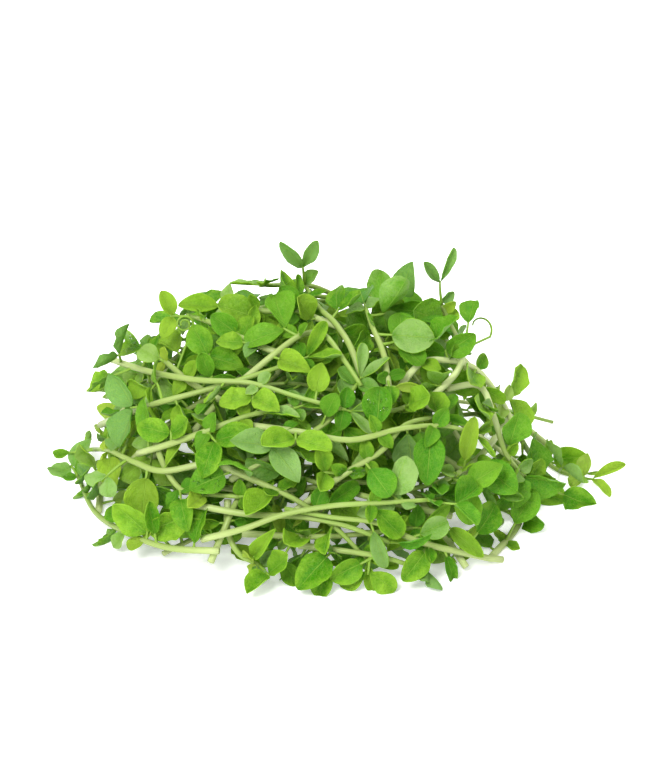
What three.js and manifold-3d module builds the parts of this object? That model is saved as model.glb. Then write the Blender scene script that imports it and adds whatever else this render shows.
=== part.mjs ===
// A loose heap of cut pea shoots, as tipped out of a punnet: several dozen leafy
// stems that lie over one another on a flat surface. Each shoot is one solid: a
// tapering stem, the stalks of its leaves, the leaflets, and a tendril on a few.
// Units are millimetres, +Z is up, and the origin lies under the middle of the
// heap, on the surface it rests on.
import * as THREE from "three";
import { mergeVertices } from "three/addons/utils/BufferGeometryUtils.js";
import Module from "manifold-3d";

const wasm = await Module();
wasm.setup();

// ---- Driving sizes ----
const HEAP = { halfWidth: 82, halfDepth: 72, height: 74, middleX: -7, middleY: 8 };
const SIDE_BULGE = 3; // how squarely the heap's sides stand: 2 is an ellipse
const CROWN_ROUNDNESS = 0.7;
const CREST_Y = 24; // the skyline, seen from the front, is this far back
const VIEW_TILT = THREE.MathUtils.degToRad(30); // the front's places are as seen from this far above level
const CENTRE_SHIFT = new THREE.Vector3(-0.36, -4.42, 0); // brings the finished heap's middle over the origin

const STEM = { baseRadius: 1.3, tipRadius: 0.8, sides: 5, steps: 8, restHeight: 0.6 };
const STEM_PRESS = 0.75; // a joint lies no lower than this share of the stem's radius there
const TENDRIL = { radius: 0.42, sides: 3, steps: 14, drift: 1.5, closing: 0.65, lifts: 12 };
const STALK_HALF_WIDTH = 0.5;
const SHORTEST_STALK = 3;
const ROOT_DEPTH = 0.5; // how far past the stem's middle a stalk's root reaches
const BLADE_THICKNESS = 0.62;
const BLADE_REST_HEIGHT = 0.45; // the lowest that the middle of a blade's thickness comes
const GAP = 0.35; // air between one piece and the next

// ---- Seeded draws ----
let seed = 31;
function draw() {
  seed = (seed + 0x6d2b79f5) >>> 0;
  let t = seed;
  t = Math.imul(t ^ (t >>> 15), t | 1) >>> 0;
  t = (t ^ (t + (Math.imul(t ^ (t >>> 7), t | 61) >>> 0))) >>> 0;
  return ((t ^ (t >>> 14)) >>> 0) / 4294967296;
}
const between = (low, high) => low + (high - low) * draw();
const either = (size) => between(-size, size);

// ---- The heap's form ----
const TO_VIEWER = new THREE.Vector3(0, -Math.cos(VIEW_TILT), Math.sin(VIEW_TILT));
const VIEW_UP = new THREE.Vector3(0, Math.sin(VIEW_TILT), Math.cos(VIEW_TILT));

function heapHeight(x, y) {
  const acrossShare = Math.abs((x - HEAP.middleX) / HEAP.halfWidth);
  const depthShare = Math.abs((y - HEAP.middleY) / HEAP.halfDepth);
  const rest = 1 - acrossShare ** SIDE_BULGE - depthShare ** 2;
  return rest > 0 ? HEAP.height * rest ** CROWN_ROUNDNESS : 0;
}

// The heap's outline as seen from the front, [across, up], going round from its left end.
const OUTLINE = [
  [-101, 11], [-98, 20], [-89, 26], [-83, 43], [-79, 59], [-65, 68], [-49, 75], [-33, 76], [-12, 81],
  [4, 79], [17, 83], [36, 84], [44, 72], [49, 58], [58, 41], [73, 36], [76, 17], [101, 6], [81, -2],
  [60, -21], [35, -29], [-5, -33], [-22, -32], [-45, -17], [-80, -9], [-95, 8],
];
const OUTLINE_MIDDLE = { across: -3, up: 26 };

// Whether a point is at least so far inside the outline, as seen from the front.
function isWithin(p, margin) {
  const away = { across: p.x - OUTLINE_MIDDLE.across, up: p.dot(VIEW_UP) - OUTLINE_MIDDLE.up };
  const push = 1 + margin / Math.max(Math.hypot(away.across, away.up), 1);
  const across = OUTLINE_MIDDLE.across + away.across * push;
  const up = OUTLINE_MIDDLE.up + away.up * push;
  let inside = false;
  OUTLINE.forEach(([x1, y1], i) => {
    const [x0, y0] = OUTLINE.at(i - 1);
    if (y0 > up !== y1 > up && across < x0 + ((up - y0) / (y1 - y0)) * (x1 - x0)) inside = !inside;
  });
  return inside;
}

// A point given as seen from the front: across, up in that view, and how far it is
// sunk under the heap's skin along the line of sight.
function seen(across, up, sink) {
  const heightAt = (y) => (up - y * VIEW_UP.y) / VIEW_UP.z;
  let y = -140;
  while (y < CREST_Y && heightAt(y) > Math.max(heapHeight(across, y), STEM.restHeight)) y += 0.5;
  y = Math.min(y, CREST_Y) - sink * TO_VIEWER.y;
  if (heightAt(y) >= STEM.restHeight) return new THREE.Vector3(across, y, heightAt(y));
  return new THREE.Vector3(across, (up - STEM.restHeight * VIEW_UP.z) / VIEW_UP.y, STEM.restHeight);
}

// Out of the heap at a point, from its slope there.
function outward(p) {
  const x = (p.x - HEAP.middleX) / HEAP.halfWidth;
  const y = (p.y - HEAP.middleY) / HEAP.halfDepth;
  return new THREE.Vector3(x, y, 0.2 + p.z / HEAP.height).normalize();
}

const SCATTERED = 11; // shoots that lie at random through the heap
const ROUTE_DRAWS = 300; // routes drawn for each of them
const COVER_DRAWS = 108; // places drawn for the leaves that cover the rest of the heap
const STEM_MARGIN = 2; // how far inside the outline a scattered shoot stays
const COVER_MARGIN = 7; // and the middle of a cover leaf

// ---- Shoots over the front of the heap ----
// Points from the cut end to the growing tip, each [across, up, sink].
const FRONT_ROUTES = [
  [[-81, 51, 0], [-65, 46, 0], [-47, 43, 0], [-29, 42, 0], [-12, 37, 0], [3, 33, 1]],
  [[-84, 27, 0], [-65, 34, 1], [-47, 39, 4], [-30, 44, 5], [-12, 50, 5]],
  [[-69, 17, 1], [-53, 22, 0], [-37, 28, 0], [-28, 31, 1], [-14, 33, 4]],
  [[-65, 32, 7], [-61, 16, 0], [-54, 5, 0], [-44, 3, 0], [-33, 2, 0]],
  [[-48, -1, 1], [-30, -4, 1], [-12, -5, 2], [4, -8, 2], [20, -14, 2]],
  [[60, -21, 0], [38, -16, 0], [26, -12, 0], [15, -7, 0], [-1, -5, 0], [-17, -2, 0]],
  [[-42, 14, 0], [-28, 8, 0], [-13, 1, 0], [0, -8, 2], [10, -18, 1]],
  [[-36, 8, 7], [-24, 15, 3], [-10, 23, 3], [1, 31, 4], [8, 41, 4]],
  [[-16, -5, 6], [4, 10, 0], [17, 18, 0], [25, 27, 0], [35, 30, 1]],
  [[-28, 27, 7], [-12, 25, 2], [6, 22, 2], [24, 26, 3], [38, 27, 2], [48, 25, 2]],
  [[-26, 32, 8], [-12, 34, 4], [4, 35, 4], [19, 32, 4], [32, 36, 4]],
  [[-33, 42, 8], [-21, 52, 1], [-11, 59, 0], [-3, 59, 0], [4, 50, 0], [10, 41, 1]],
  [[13, 34, 7], [7, 53, 0], [1, 63, 0], [-5, 69, 0], [-10, 77, 0]],
  [[20, 38, 5], [18, 52, 3], [14, 62, 2], [12, 68, 1]],
  [[34, 36, 8], [44, 46, 2], [46, 54, 1], [42, 63, 0], [39, 70, 0]],
  [[21, 37, 8], [31, 49, 0], [41, 50, 0], [51, 47, 0], [60, 36, 0], [68, 21, 0], [74, 14, 0], [82, 10, 0], [89, 8, 0]],
  [[40, 40, 8], [52, 41, 1], [57, 31, 0], [61, 18, 0], [67, 10, 0], [74, 4, 0]],
  [[-40, -17, 0], [-58, -16, 0], [-73, -11, 0], [-85, -4, 0], [-92, 8, 0]],
  [[-43, -21, 0], [-38, -9, 0], [-34, 0, 4], [-28, 8, 9], [-22, 16, 13]],
  [[-46, -13, 5], [-31, -9, 1], [-17, -4, 1], [0, -1, 2], [17, 0, 2], [33, 1, 1]],
  [[-37, 1, 3], [-37, -10, 1], [-33, -18, 0], [-26, -22, 0]],
  [[-12, -15, 4], [4, -17, 2], [17, -19, 1], [30, -23, 0]],
  [[-44, 14, 7], [-60, 11, 1], [-70, 14, 0], [-80, 18, 0], [-88, 18, 0]],
  [[-18, 52, 4], [-30, 57, 2], [-42, 63, 1], [-51, 66, 0]],
  [[2, 62, 5], [-12, 67, 3], [-28, 68, 2], [-42, 70, 0]],
  [[-36, 34, 6], [-50, 42, 4], [-60, 50, 2], [-66, 54, 0]],
  [[64, 30, 8], [52, 16, 2], [40, 8, 2], [25, 4, 5]],
  [[-50, 6, 10], [-20, 4, 12], [10, 7, 12], [35, 2, 10]],
  [[42, -5, 8], [12, 2, 10], [-20, 11, 12]],
  [[-32, -11, 6], [-2, -12, 7], [28, -9, 7]],
];

// ---- Shoots round the sides and back ----
// Points from the cut end to the growing tip, each [x, y, z].
const ON_SURFACE = 1;
const BACK_ROUTES = [
  [[-34, 70, ON_SURFACE], [-8, 74, ON_SURFACE], [20, 72, ON_SURFACE], [46, 62, 2]],
  [[56, -42, ON_SURFACE], [67, -16, ON_SURFACE], [66, 14, ON_SURFACE], [58, 44, 4]],
  [[-84, -10, ON_SURFACE], [-82, 18, ON_SURFACE], [-68, 42, ON_SURFACE], [-50, 60, 4]],
  [[44, 66, ON_SURFACE], [22, 62, 26], [-4, 48, 54], [-24, 26, 68]],
  [[-58, 58, ON_SURFACE], [-38, 64, 14], [-12, 68, 26], [16, 68, 24], [40, 62, 12]],
  [[78, 32, 4], [60, 38, 18], [40, 38, 42], [18, 28, 62]],
  [[66, 12, 14], [48, 30, 38], [22, 42, 54], [-8, 40, 60]],
  [[-78, 20, 22], [-56, 34, 40], [-30, 42, 54], [0, 44, 58]],
];

// ---- Leaves on the front of the heap ----
// Each [across, up, leaflet length, form] of the middle of a leaf. A form says how wide its
// leaflets are to their length, in what range of places along them they are widest, and how
// much farther apart a pair's leaflets stand than they must.
const PAIR = { paired: true, slimness: 0.74, bellies: [0.42, 0.64], apart: [0.08, 0.35] };
const SINGLE = { ...PAIR, paired: false, slimness: 0.8, bellies: [0.4, 0.62] };
const FOLDED = { ...PAIR, paired: false, slimness: 0.42, bellies: [0.45, 0.55] };
const FOLDED_PAIR = { ...PAIR, slimness: 0.36, bellies: [0.56, 0.64] };
const UPRIGHT_PAIR = { ...PAIR, slimness: 0.3, bellies: [0.56, 0.64], apart: [0, 0.08] };
const FRONT_LEAVES = [
  // the skyline
  [-11, 86, 16, UPRIGHT_PAIR], [-9, 73, 10, FOLDED_PAIR], [38, 81, 15, UPRIGHT_PAIR],
  [10, 74, 16, SINGLE], [18, 73, 17, SINGLE], [28, 71, 16, SINGLE], [35, 66, 16, SINGLE],
  [-48, 70, 15, FOLDED], [-60, 66, 10, PAIR], [-38, 63, 12, SINGLE], [-36, 57, 10, SINGLE],
  [-21, 63, 16, PAIR], [-73, 56, 13, SINGLE], [-73, 44, 10, PAIR], [-64, 52, 10, SINGLE],
  // the left side
  [-96, 14, 12, PAIR], [-86, 19, 14, SINGLE], [-78, 12, 15, SINGLE], [-86, 4, 18, FOLDED],
  [-67, 1, 16, SINGLE], [-65, -7, 16, PAIR], [-79, -6, 10, SINGLE], [-78, 21, 8, SINGLE],
  [-43, 8, 14, SINGLE], [-39, 19, 14, PAIR], [-53, -3, 12, SINGLE],
  // the middle
  [-29, 34, 12, PAIR], [-26, 0, 13, SINGLE], [-5, 43, 11, SINGLE], [-1, 34, 10, SINGLE],
  [16, 34, 14, SINGLE], [19, 40, 9, SINGLE], [29, 36, 14, SINGLE], [40, 56, 13, PAIR],
  [-5, 11, 10, PAIR], [16, 8, 14, SINGLE], [34, 15, 18, SINGLE], [37, 6, 15, FOLDED],
  [48, 21, 16, FOLDED], [51, 4, 14, PAIR],
  // the right side
  [50, 44, 14, SINGLE], [65, 36, 15, PAIR], [62, 27, 16, SINGLE], [53, 32, 15, SINGLE],
  [59, 8, 16, SINGLE], [71, 12, 18, SINGLE], [78, 2, 15, SINGLE], [97, 7, 13, FOLDED_PAIR], [88, 1, 15, SINGLE], [86, 14, 14, SINGLE],
  [66, 4, 12, SINGLE], [68, -2, 15, SINGLE], [55, -6, 14, SINGLE],
  // the front edge
  [-21, -27, 12, PAIR], [-26, -16, 14, FOLDED], [-15, -16, 16, SINGLE], [-10, -12, 16, FOLDED],
  [-7, -24, 16, SINGLE], [4, -23, 13, SINGLE], [16, -16, 14, FOLDED], [29, -23, 14, SINGLE],
  [38, -21, 12, PAIR], [33, -15, 17, FOLDED], [47, -14, 16, FOLDED], [36, -10, 12, SINGLE],
  [20, -7, 14, SINGLE],
];

// Tendrils: the place of the joint each grows from, its curl's middle, and the curl's size.
const TENDRILS = [
  { from: [-58, 48], curl: [-53, 63], radius: 3.2, turns: 1.6, hand: 1 },
  { from: [48, 54], curl: [52, 62], radius: 5.5, turns: 0.55, hand: 1 },
];

// ---- Room: where everything laid so far is ----
const SAMPLE_STEP = 1.2;
const BLADE_SAMPLE_RADIUS = 0.62; // half a blade's thickness, and half the way to the next sample
const OWN_REACH = 4; // a leaf may touch its own shoot within this distance of its root
const CELL = 2 * STEM.baseRadius + GAP;
const cells = new Map();

const cellKey = (x, y, z) => (x * 1000 + y) * 1000 + z;
const cellOf = (p) => [p.x, p.y, p.z].map((v) => Math.floor(v / CELL) + 100);

function takeRoom(samples, owner) {
  for (const { at, radius } of samples) {
    const key = cellKey(...cellOf(at));
    if (!cells.has(key)) cells.set(key, []);
    cells.get(key).push({ at, radius, owner });
  }
}

function sampleIsClear({ at, radius }, mayTouch) {
  const [x, y, z] = cellOf(at);
  for (let i = x - 1; i <= x + 1; i++)
    for (let j = y - 1; j <= y + 1; j++)
      for (let k = z - 1; k <= z + 1; k++)
        for (const other of cells.get(cellKey(i, j, k)) ?? [])
          if (other.owner !== mayTouch && at.distanceTo(other.at) < radius + other.radius + GAP)
            return false;
  return true;
}

const hasRoom = (samples, owner, root) =>
  samples.every((s) => sampleIsClear(s, root && s.at.distanceTo(root) < OWN_REACH ? owner : null));

// Points along a line through these, close enough that nothing passes between them.
function lineSamples(points, radiusAt) {
  const steps = points.length - 1;
  const samples = [{ at: points[steps], radius: radiusAt(1) }];
  for (let i = 0; i < steps; i++) {
    const count = Math.ceil(points[i].distanceTo(points[i + 1]) / SAMPLE_STEP);
    for (let k = 0; k < count; k++) {
      const at = points[i].clone().lerp(points[i + 1], k / count);
      samples.push({ at, radius: radiusAt((i + k / count) / steps) });
    }
  }
  return samples;
}

// ---- Stems ----
const shoots = [];
const stemRadius = (t) => THREE.MathUtils.lerp(STEM.baseRadius, STEM.tipRadius, t);

// A stem is straight between its joints, as its solid is.
function stemAlong(points) {
  const curve = new THREE.CatmullRomCurve3(points, false, "catmullrom", 0.5);
  const joints = curve.getPoints(STEM.steps);
  joints.forEach((joint, i) => {
    joint.z = Math.max(joint.z, STEM_PRESS * stemRadius(i / STEM.steps));
  });
  return { joints, samples: lineSamples(joints, stemRadius) };
}

// The first of these routes that is clear of everything laid so far becomes a shoot.
function layShoot(routes) {
  for (const points of routes) {
    const stem = stemAlong(points);
    if (!hasRoom(stem.samples)) continue;
    const owner = shoots.length;
    takeRoom(stem.samples, owner);
    shoots.push({ ...stem, owner, leaves: [], tendrils: [] });
    return true;
  }
  return false;
}

// A route is tried where it was drawn, then a little to this side and that of it.
const SHIFTS = Array.from({ length: 25 }, (_, i) => Math.ceil(i / 2) * (i % 2 ? 1 : -1));

for (const route of FRONT_ROUTES)
  layShoot(SHIFTS.map((shift) => route.map(([across, up, sink]) => seen(across, up, sink + shift))));

function lifted([x, y, z], lift) {
  return new THREE.Vector3(x, y, z > ON_SURFACE ? Math.max(z + lift, ON_SURFACE) : z);
}
for (const route of BACK_ROUTES) layShoot(SHIFTS.map((lift) => route.map((point) => lifted(point, lift))));

// The rest lie at random through the heap, nearly level and at every height.
const DEPTH_TO_WIDTH = 0.7;
const POINTS_ALONG = [-0.5, -0.17, 0.17, 0.5]; // shares of a scattered shoot's length, from its middle
function scatteredRoute() {
  const heading = between(0, Math.PI);
  const length = between(80, 110);
  const middle = { x: either(40), y: HEAP.middleY + either(30) };
  const layer = between(0.15, 0.9);
  return POINTS_ALONG.map((share) => {
    const x = middle.x + Math.cos(heading) * length * share;
    const y = middle.y + Math.sin(heading) * length * share * DEPTH_TO_WIDTH;
    return new THREE.Vector3(x, y, Math.max(STEM.restHeight, layer * heapHeight(x, y) + either(5)));
  });
}
for (let k = 0; k < SCATTERED; k++) {
  const routes = Array.from({ length: ROUTE_DRAWS }, scatteredRoute);
  layShoot(routes.filter((route) => route.every((p) => isWithin(p, STEM_MARGIN))));
}

// ---- Leaves ----
// Half a leaflet's width, as a share of its greatest, at s from its base to its tip.
function bladeHalf(s, belly) {
  const t = s ** (Math.log(0.5) / Math.log(belly));
  return (4 * t * (1 - t)) ** 0.6;
}
const STATIONS = [0.5, 1.4]; // where a leaflet's outline has its corners, as shares of its belly
const BLADE_MIDDLE = 0.45;
const FORK = 1.1; // how far past its stalk's end a pair's foot reaches
const FACING_LIMIT = 0.15; // the least that a triangle of a leaf may still face its upper side

// The direction from towards a second one at right angles to it, by an angle.
const turned = (from, to, angle) =>
  from.clone().multiplyScalar(Math.cos(angle)).addScaledVector(to, Math.sin(angle));

// The middle surface of a leaf, as points and triangles that face its upper side.
function leafSheet(leaf) {
  const { root, along, face } = leaf;
  const across = face.clone().cross(along).normalize();
  const points = [];
  const triangles = [];
  const add = (p) => {
    p.z = Math.max(p.z, BLADE_REST_HEIGHT);
    return points.push(p) - 1;
  };
  const onStalk = (reach, side) =>
    add(root.clone().addScaledVector(along, reach).addScaledVector(across, side * STALK_HALF_WIDTH));
  const fan = (ring, centre) =>
    ring.forEach((v, i) => triangles.push([centre, v, ring[(i + 1) % ring.length]]));

  // A leaflet runs along l, with w to its side and m up from its blade. Its outline goes
  // out along one edge, over the tip and back along the other.
  const leaflet = (foot, base, l, w, m, first) => {
    const at = (s, side) => {
      const half = bladeHalf(s, leaf.belly);
      const rise = leaf.cup * leaf.width * side * side * half - leaf.bend * leaf.length * s * s;
      return add(base.clone().addScaledVector(l, s * leaf.length)
        .addScaledVector(w, side * 0.5 * leaf.width * half).addScaledVector(m, rise));
    };
    const corners = STATIONS.map((share) => share * leaf.belly);
    const out = corners.map((s) => at(s, first));
    const tip = at(1, 0);
    const back = corners.toReversed().map((s) => at(s, -first));
    fan([...foot, ...out, tip, ...back], at(BLADE_MIDDLE, 0));
  };

  const rootLeft = onStalk(-ROOT_DEPTH, -1);
  const rootRight = onStalk(-ROOT_DEPTH, 1);
  const forkLeft = onStalk(leaf.stalk, -1);
  const forkRight = onStalk(leaf.stalk, 1);
  triangles.push([rootLeft, forkLeft, forkRight], [rootLeft, forkRight, rootRight]);
  const fork = root.clone().addScaledVector(along, leaf.stalk);
  if (!leaf.paired) {
    leaflet([forkRight, forkLeft], fork, along, across, face, -1);
    return { points, triangles };
  }
  const end = onStalk(leaf.stalk + FORK, 0);
  triangles.push([forkLeft, end, forkRight]);
  for (const side of [1, -1]) {
    const out = turned(across.clone().multiplyScalar(side), face, leaf.fold);
    const l = turned(along, out, leaf.spread);
    const w = turned(along, out, leaf.spread - Math.PI / 2);
    const m = w.clone().cross(l).multiplyScalar(side);
    leaflet(side > 0 ? [forkRight, end] : [end, forkLeft], fork, l, w, m, side);
  }
  return { points, triangles };
}

function triangleNormal(points, [a, b, c]) {
  const first = points[b].clone().sub(points[a]);
  return first.cross(points[c].clone().sub(points[a])).normalize();
}

// Points spread over a sheet, close enough that nothing passes between them.
function sheetSamples({ points, triangles }) {
  const samples = [];
  for (const [a, b, c] of triangles) {
    const [p, q, r] = [points[a], points[b], points[c]];
    const n = Math.ceil(Math.max(p.distanceTo(q), q.distanceTo(r), r.distanceTo(p)) / SAMPLE_STEP);
    for (let i = 0; i <= n; i++)
      for (let j = 0; j <= n - i; j++) {
        const at = new THREE.Vector3().addScaledVector(p, i / n).addScaledVector(q, j / n);
        samples.push({ at: at.addScaledVector(r, (n - i - j) / n), radius: BLADE_SAMPLE_RADIUS });
      }
  }
  return samples;
}

// A sheet pressed flat against the surface below may not have doubled back on itself.
const isSound = ({ points, triangles }, face) =>
  triangles.every((triangle) => triangleNormal(points, triangle).dot(face) > FACING_LIMIT);

function leafForm({ paired, slimness, bellies, apart }, length) {
  const width = length * slimness * between(0.92, 1.08);
  const belly = between(...bellies);
  const corner = STATIONS[0] * belly;
  const leastSpread = Math.atan((0.5 * width * bladeHalf(corner, belly)) / (corner * length));
  return {
    paired, length, width, belly,
    spread: leastSpread + between(...apart),
    fold: between(-0.1, 0.5), cup: between(0.06, 0.18), bend: between(-0.1, 0.22),
  };
}

const anyWay = (size) => new THREE.Vector3(either(size), either(size), either(size));

// Ways to try a leaf: how often, how loosely at last, and whether its tip is kept inside the outline.
const STRICT = { tries: 10, loosest: 0.3, kept: false };
const LOOSE = { tries: 30, loosest: 1, kept: false };
const KEPT = { tries: 30, loosest: 1, kept: true };
const SHRINK = 0.25; // how much smaller the loosest leaf is
const TIPPING = 1.5; // how much more a leaf may tip than turn

// Tries one leaf in a way that loosens each time: turned, tipped and made smaller.
function growLeaf(shoot, plan, manner) {
  const { root } = plan;
  for (let attempt = 0; attempt < manner.tries; attempt++) {
    const loose = (manner.loosest * attempt) / manner.tries;
    const along = plan.along.clone().add(anyWay(loose)).normalize();
    const face = plan.face.clone().add(anyWay(TIPPING * loose));
    face.addScaledVector(along, -face.dot(along)).normalize();
    const size = 1 - SHRINK * loose;
    const stalk = Math.max(SHORTEST_STALK, plan.stalk * size);
    const leaf = { ...plan, along, face, stalk, length: plan.length * size, width: plan.width * size };
    if (manner.kept && !isWithin(root.clone().addScaledVector(along, stalk + leaf.length), 0)) continue;
    leaf.sheet = leafSheet(leaf);
    if (!isSound(leaf.sheet, face)) continue;
    const samples = sheetSamples(leaf.sheet);
    if (!hasRoom(samples, shoot.owner, root)) continue;
    takeRoom(samples, shoot.owner);
    shoot.leaves.push(leaf);
    return true;
  }
  return false;
}

// A leaf whose middle is asked for at a place grows from one of the nearest joints.
const MOST_ON_SHOOT = 6;
const JOINTS_TRIED = 4;
const STALK_RANGE = [2, 16];
function leafAt(place, length, form, facing, manner) {
  const reach = (form.paired ? 0.3 : 0.5) * length;
  const joints = shoots.flatMap((shoot) => shoot.joints.slice(1).map((root) => ({ shoot, root })))
    .filter(({ shoot, root }) => !root.taken && shoot.leaves.length < MOST_ON_SHOOT)
    .map((j) => ({ ...j, away: j.root.distanceTo(place) }))
    .filter(({ away }) => away > reach + STALK_RANGE[0] && away < reach + STALK_RANGE[1])
    .sort((a, b) => a.away - b.away)
    .slice(0, JOINTS_TRIED);
  for (const { shoot, root, away } of joints) {
    const along = place.clone().sub(root).normalize();
    const face = facing.clone().addScaledVector(along, -facing.dot(along)).normalize();
    const plan = { root, along, face, stalk: away - reach, ...leafForm(form, length) };
    root.taken = growLeaf(shoot, plan, manner);
    if (root.taken) return true;
  }
  return false;
}

// ---- Tendrils ----
// Each reaches up from a joint and ends in a curl that draws in on itself.
function tendrilPoints(root, middle, { radius, turns, hand }) {
  const toRoot = root.clone().sub(middle);
  const start = Math.atan2(toRoot.dot(VIEW_UP), toRoot.x) + (hand * Math.PI) / 2;
  const curl = Array.from({ length: TENDRIL.steps }, (_, i) => {
    const share = i / (TENDRIL.steps - 1);
    const angle = start + hand * share * turns * 2 * Math.PI;
    const reach = radius * (1 - TENDRIL.closing * share);
    return middle.clone()
      .addScaledVector(VIEW_UP, reach * Math.sin(angle))
      .addScaledVector(TO_VIEWER, share * turns * TENDRIL.drift)
      .add(new THREE.Vector3(reach * Math.cos(angle), 0, 0));
  });
  return [root.clone(), ...curl];
}

function growTendril(tendril) {
  const base = seen(...tendril.from, 0);
  const joints = shoots.flatMap((shoot) => shoot.joints.slice(2, -1).map((root) => ({ shoot, root })))
    .sort((a, b) => a.root.distanceTo(base) - b.root.distanceTo(base));
  for (const { shoot, root } of joints.slice(0, 6))
    for (let lift = 0; lift < TENDRIL.lifts; lift++) {
      const middle = seen(...tendril.curl, 0).addScaledVector(TO_VIEWER, lift);
      const points = tendrilPoints(root, middle, tendril);
      const samples = lineSamples(points, () => TENDRIL.radius);
      if (!hasRoom(samples, shoot.owner, root)) continue;
      takeRoom(samples, shoot.owner);
      shoot.tendrils.push(points);
      root.taken = true;
      return;
    }
}
TENDRILS.forEach(growTendril);

// ---- Laying the leaves ----
const STANDING_OUT = 2; // how far the middle of a front leaf stands out of the heap's skin
for (const [across, up, length, form] of FRONT_LEAVES) {
  const place = seen(across, up, 0).addScaledVector(TO_VIEWER, STANDING_OUT);
  const facing = TO_VIEWER.clone().multiplyScalar(2).add(outward(place)).add(anyWay(0.8)).normalize();
  if (!leafAt(place, length, form, facing, STRICT)) leafAt(place, length, form, facing, LOOSE);
}

// The growing tip carries the stem's line on with a small folded pair.
shoots.forEach((shoot, k) => {
  const root = shoot.joints[STEM.steps];
  if (root.taken) return;
  const along = root.clone().sub(shoot.joints[STEM.steps - 1]).normalize();
  const face = outward(root);
  face.addScaledVector(along, -face.dot(along)).normalize();
  const plan = { root, along, face, stalk: SHORTEST_STALK, ...leafForm(FOLDED_PAIR, between(11, 15)) };
  root.taken = growLeaf(shoot, plan, k < FRONT_ROUTES.length ? LOOSE : KEPT);
});

// The rest of the leaves cover the heap evenly, and some lie deeper in it.
const COVER = { crowding: 0.45, deepest: 0.85, depthBias: 1.3 };
for (let k = 0; k < COVER_DRAWS; k++) {
  const bearing = between(0, 2 * Math.PI);
  const share = draw() ** COVER.crowding;
  const x = HEAP.middleX + HEAP.halfWidth * share * Math.cos(bearing);
  const y = HEAP.middleY + HEAP.halfDepth * share * Math.sin(bearing);
  const height = heapHeight(x, y) * (1 - COVER.deepest * draw() ** COVER.depthBias);
  const place = new THREE.Vector3(x, y, Math.max(1, height));
  const facing = outward(place).add(anyWay(0.7)).normalize();
  const length = between(14, 20);
  if (isWithin(place, COVER_MARGIN)) leafAt(place, length, PAIR, facing, KEPT);
}

// ---- Solids ----
function solidOf(points, faces) {
  const geometry = new THREE.BufferGeometry().setFromPoints(points).setIndex(faces.flat());
  const merged = mergeVertices(geometry, 1e-4);
  const vertProperties = merged.attributes.position.array;
  const triVerts = new Uint32Array(merged.index.array);
  return new wasm.Manifold(new wasm.Mesh({ numProp: 3, vertProperties, triVerts }));
}

// A sheet given its thickness: an upper and a lower face, and a rim along its free edges.
function bladeSolid({ points, triangles }) {
  const normals = points.map(() => new THREE.Vector3());
  for (const triangle of triangles) {
    const normal = triangleNormal(points, triangle);
    for (const v of triangle) normals[v].add(normal);
  }
  normals.forEach((normal) => normal.setLength(BLADE_THICKNESS / 2));
  const count = points.length;
  const skin = (side) => points.map((p, i) => p.clone().addScaledVector(normals[i], side));
  const faces = [...triangles, ...triangles.map(([a, b, c]) => [a + count, c + count, b + count])];
  const edges = new Set(triangles.flatMap(([a, b, c]) => [`${a},${b}`, `${b},${c}`, `${c},${a}`]));
  for (const edge of edges) {
    const [a, b] = edge.split(",").map(Number);
    if (!edges.has(`${b},${a}`)) faces.push([b, a, a + count], [b, a + count, b + count]);
  }
  return solidOf([...skin(1), ...skin(-1)], faces);
}

// A tube through points, with a flat side kept underneath, pressed flat where it lies on the surface.
function tubeSolid(points, radiusAt, sides) {
  const steps = points.length - 1;
  const rings = [];
  const normal = new THREE.Vector3(0, 0, 1);
  points.forEach((point, i) => {
    const before = points[Math.max(i - 1, 0)];
    const after = points[Math.min(i + 1, steps)];
    const tangent = after.clone().sub(before).normalize();
    normal.addScaledVector(tangent, -normal.dot(tangent)).normalize();
    const binormal = tangent.clone().cross(normal);
    for (let k = 0; k < sides; k++) {
      const angle = (2 * Math.PI * k) / sides;
      const corner = point.clone()
        .addScaledVector(normal, radiusAt(i / steps) * Math.cos(angle))
        .addScaledVector(binormal, radiusAt(i / steps) * Math.sin(angle));
      corner.z = Math.max(corner.z, 0);
      rings.push(corner);
    }
  });
  const faces = [];
  for (let i = 0; i < steps; i++)
    for (let k = 0; k < sides; k++) {
      const a = i * sides + k;
      const b = i * sides + ((k + 1) % sides);
      faces.push([a, b, b + sides], [a, b + sides, a + sides]);
    }
  const last = steps * sides;
  for (let k = 1; k < sides - 1; k++) faces.push([0, k + 1, k], [last, last + k, last + k + 1]);
  return solidOf(rings, faces);
}

function shootSolid(shoot) {
  const stem = tubeSolid(shoot.joints, stemRadius, STEM.sides);
  const tendrils = shoot.tendrils.map((points) => tubeSolid(points, () => TENDRIL.radius, TENDRIL.sides));
  const leaves = shoot.leaves.map((leaf) => bladeSolid(leaf.sheet));
  return [...tendrils, ...leaves].reduce((body, piece) => body.add(piece), stem);
}

// ---- The finished group ----
const green = (k) => new THREE.MeshStandardMaterial({
  color: new THREE.Color().setHSL(0.265 + 0.02 * Math.sin(k), 0.6, 0.36 + 0.05 * Math.cos(2 * k)),
  roughness: 0.5,
  metalness: 0,
});

const heap = new THREE.Group();
shoots.forEach((shoot, k) => {
  const mesh = shootSolid(shoot).getMesh();
  const geometry = new THREE.BufferGeometry()
    .setAttribute("position", new THREE.BufferAttribute(mesh.vertProperties, 3))
    .setIndex(new THREE.BufferAttribute(mesh.triVerts, 1));
  const piece = new THREE.Mesh(geometry, green(k));
  piece.name = `shoot_${String(k + 1).padStart(2, "0")}`;
  piece.position.copy(CENTRE_SHIFT);
  heap.add(piece);
});
export default heap;
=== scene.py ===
"""A loose heap of cut pea shoots, built in full detail around its fixed frame.

Every shoot of the frame is laid again from the same named places and the same seeded
draws, then given its round stem, stalks, veined leaflets, stipules and tendrils. Thinner
shoots and smaller leaves fill the heap between them, and a few droplets lie on the leaves.
Lengths are millimetres until a piece's mesh is written, which is in metres.
"""

import math
import random

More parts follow.
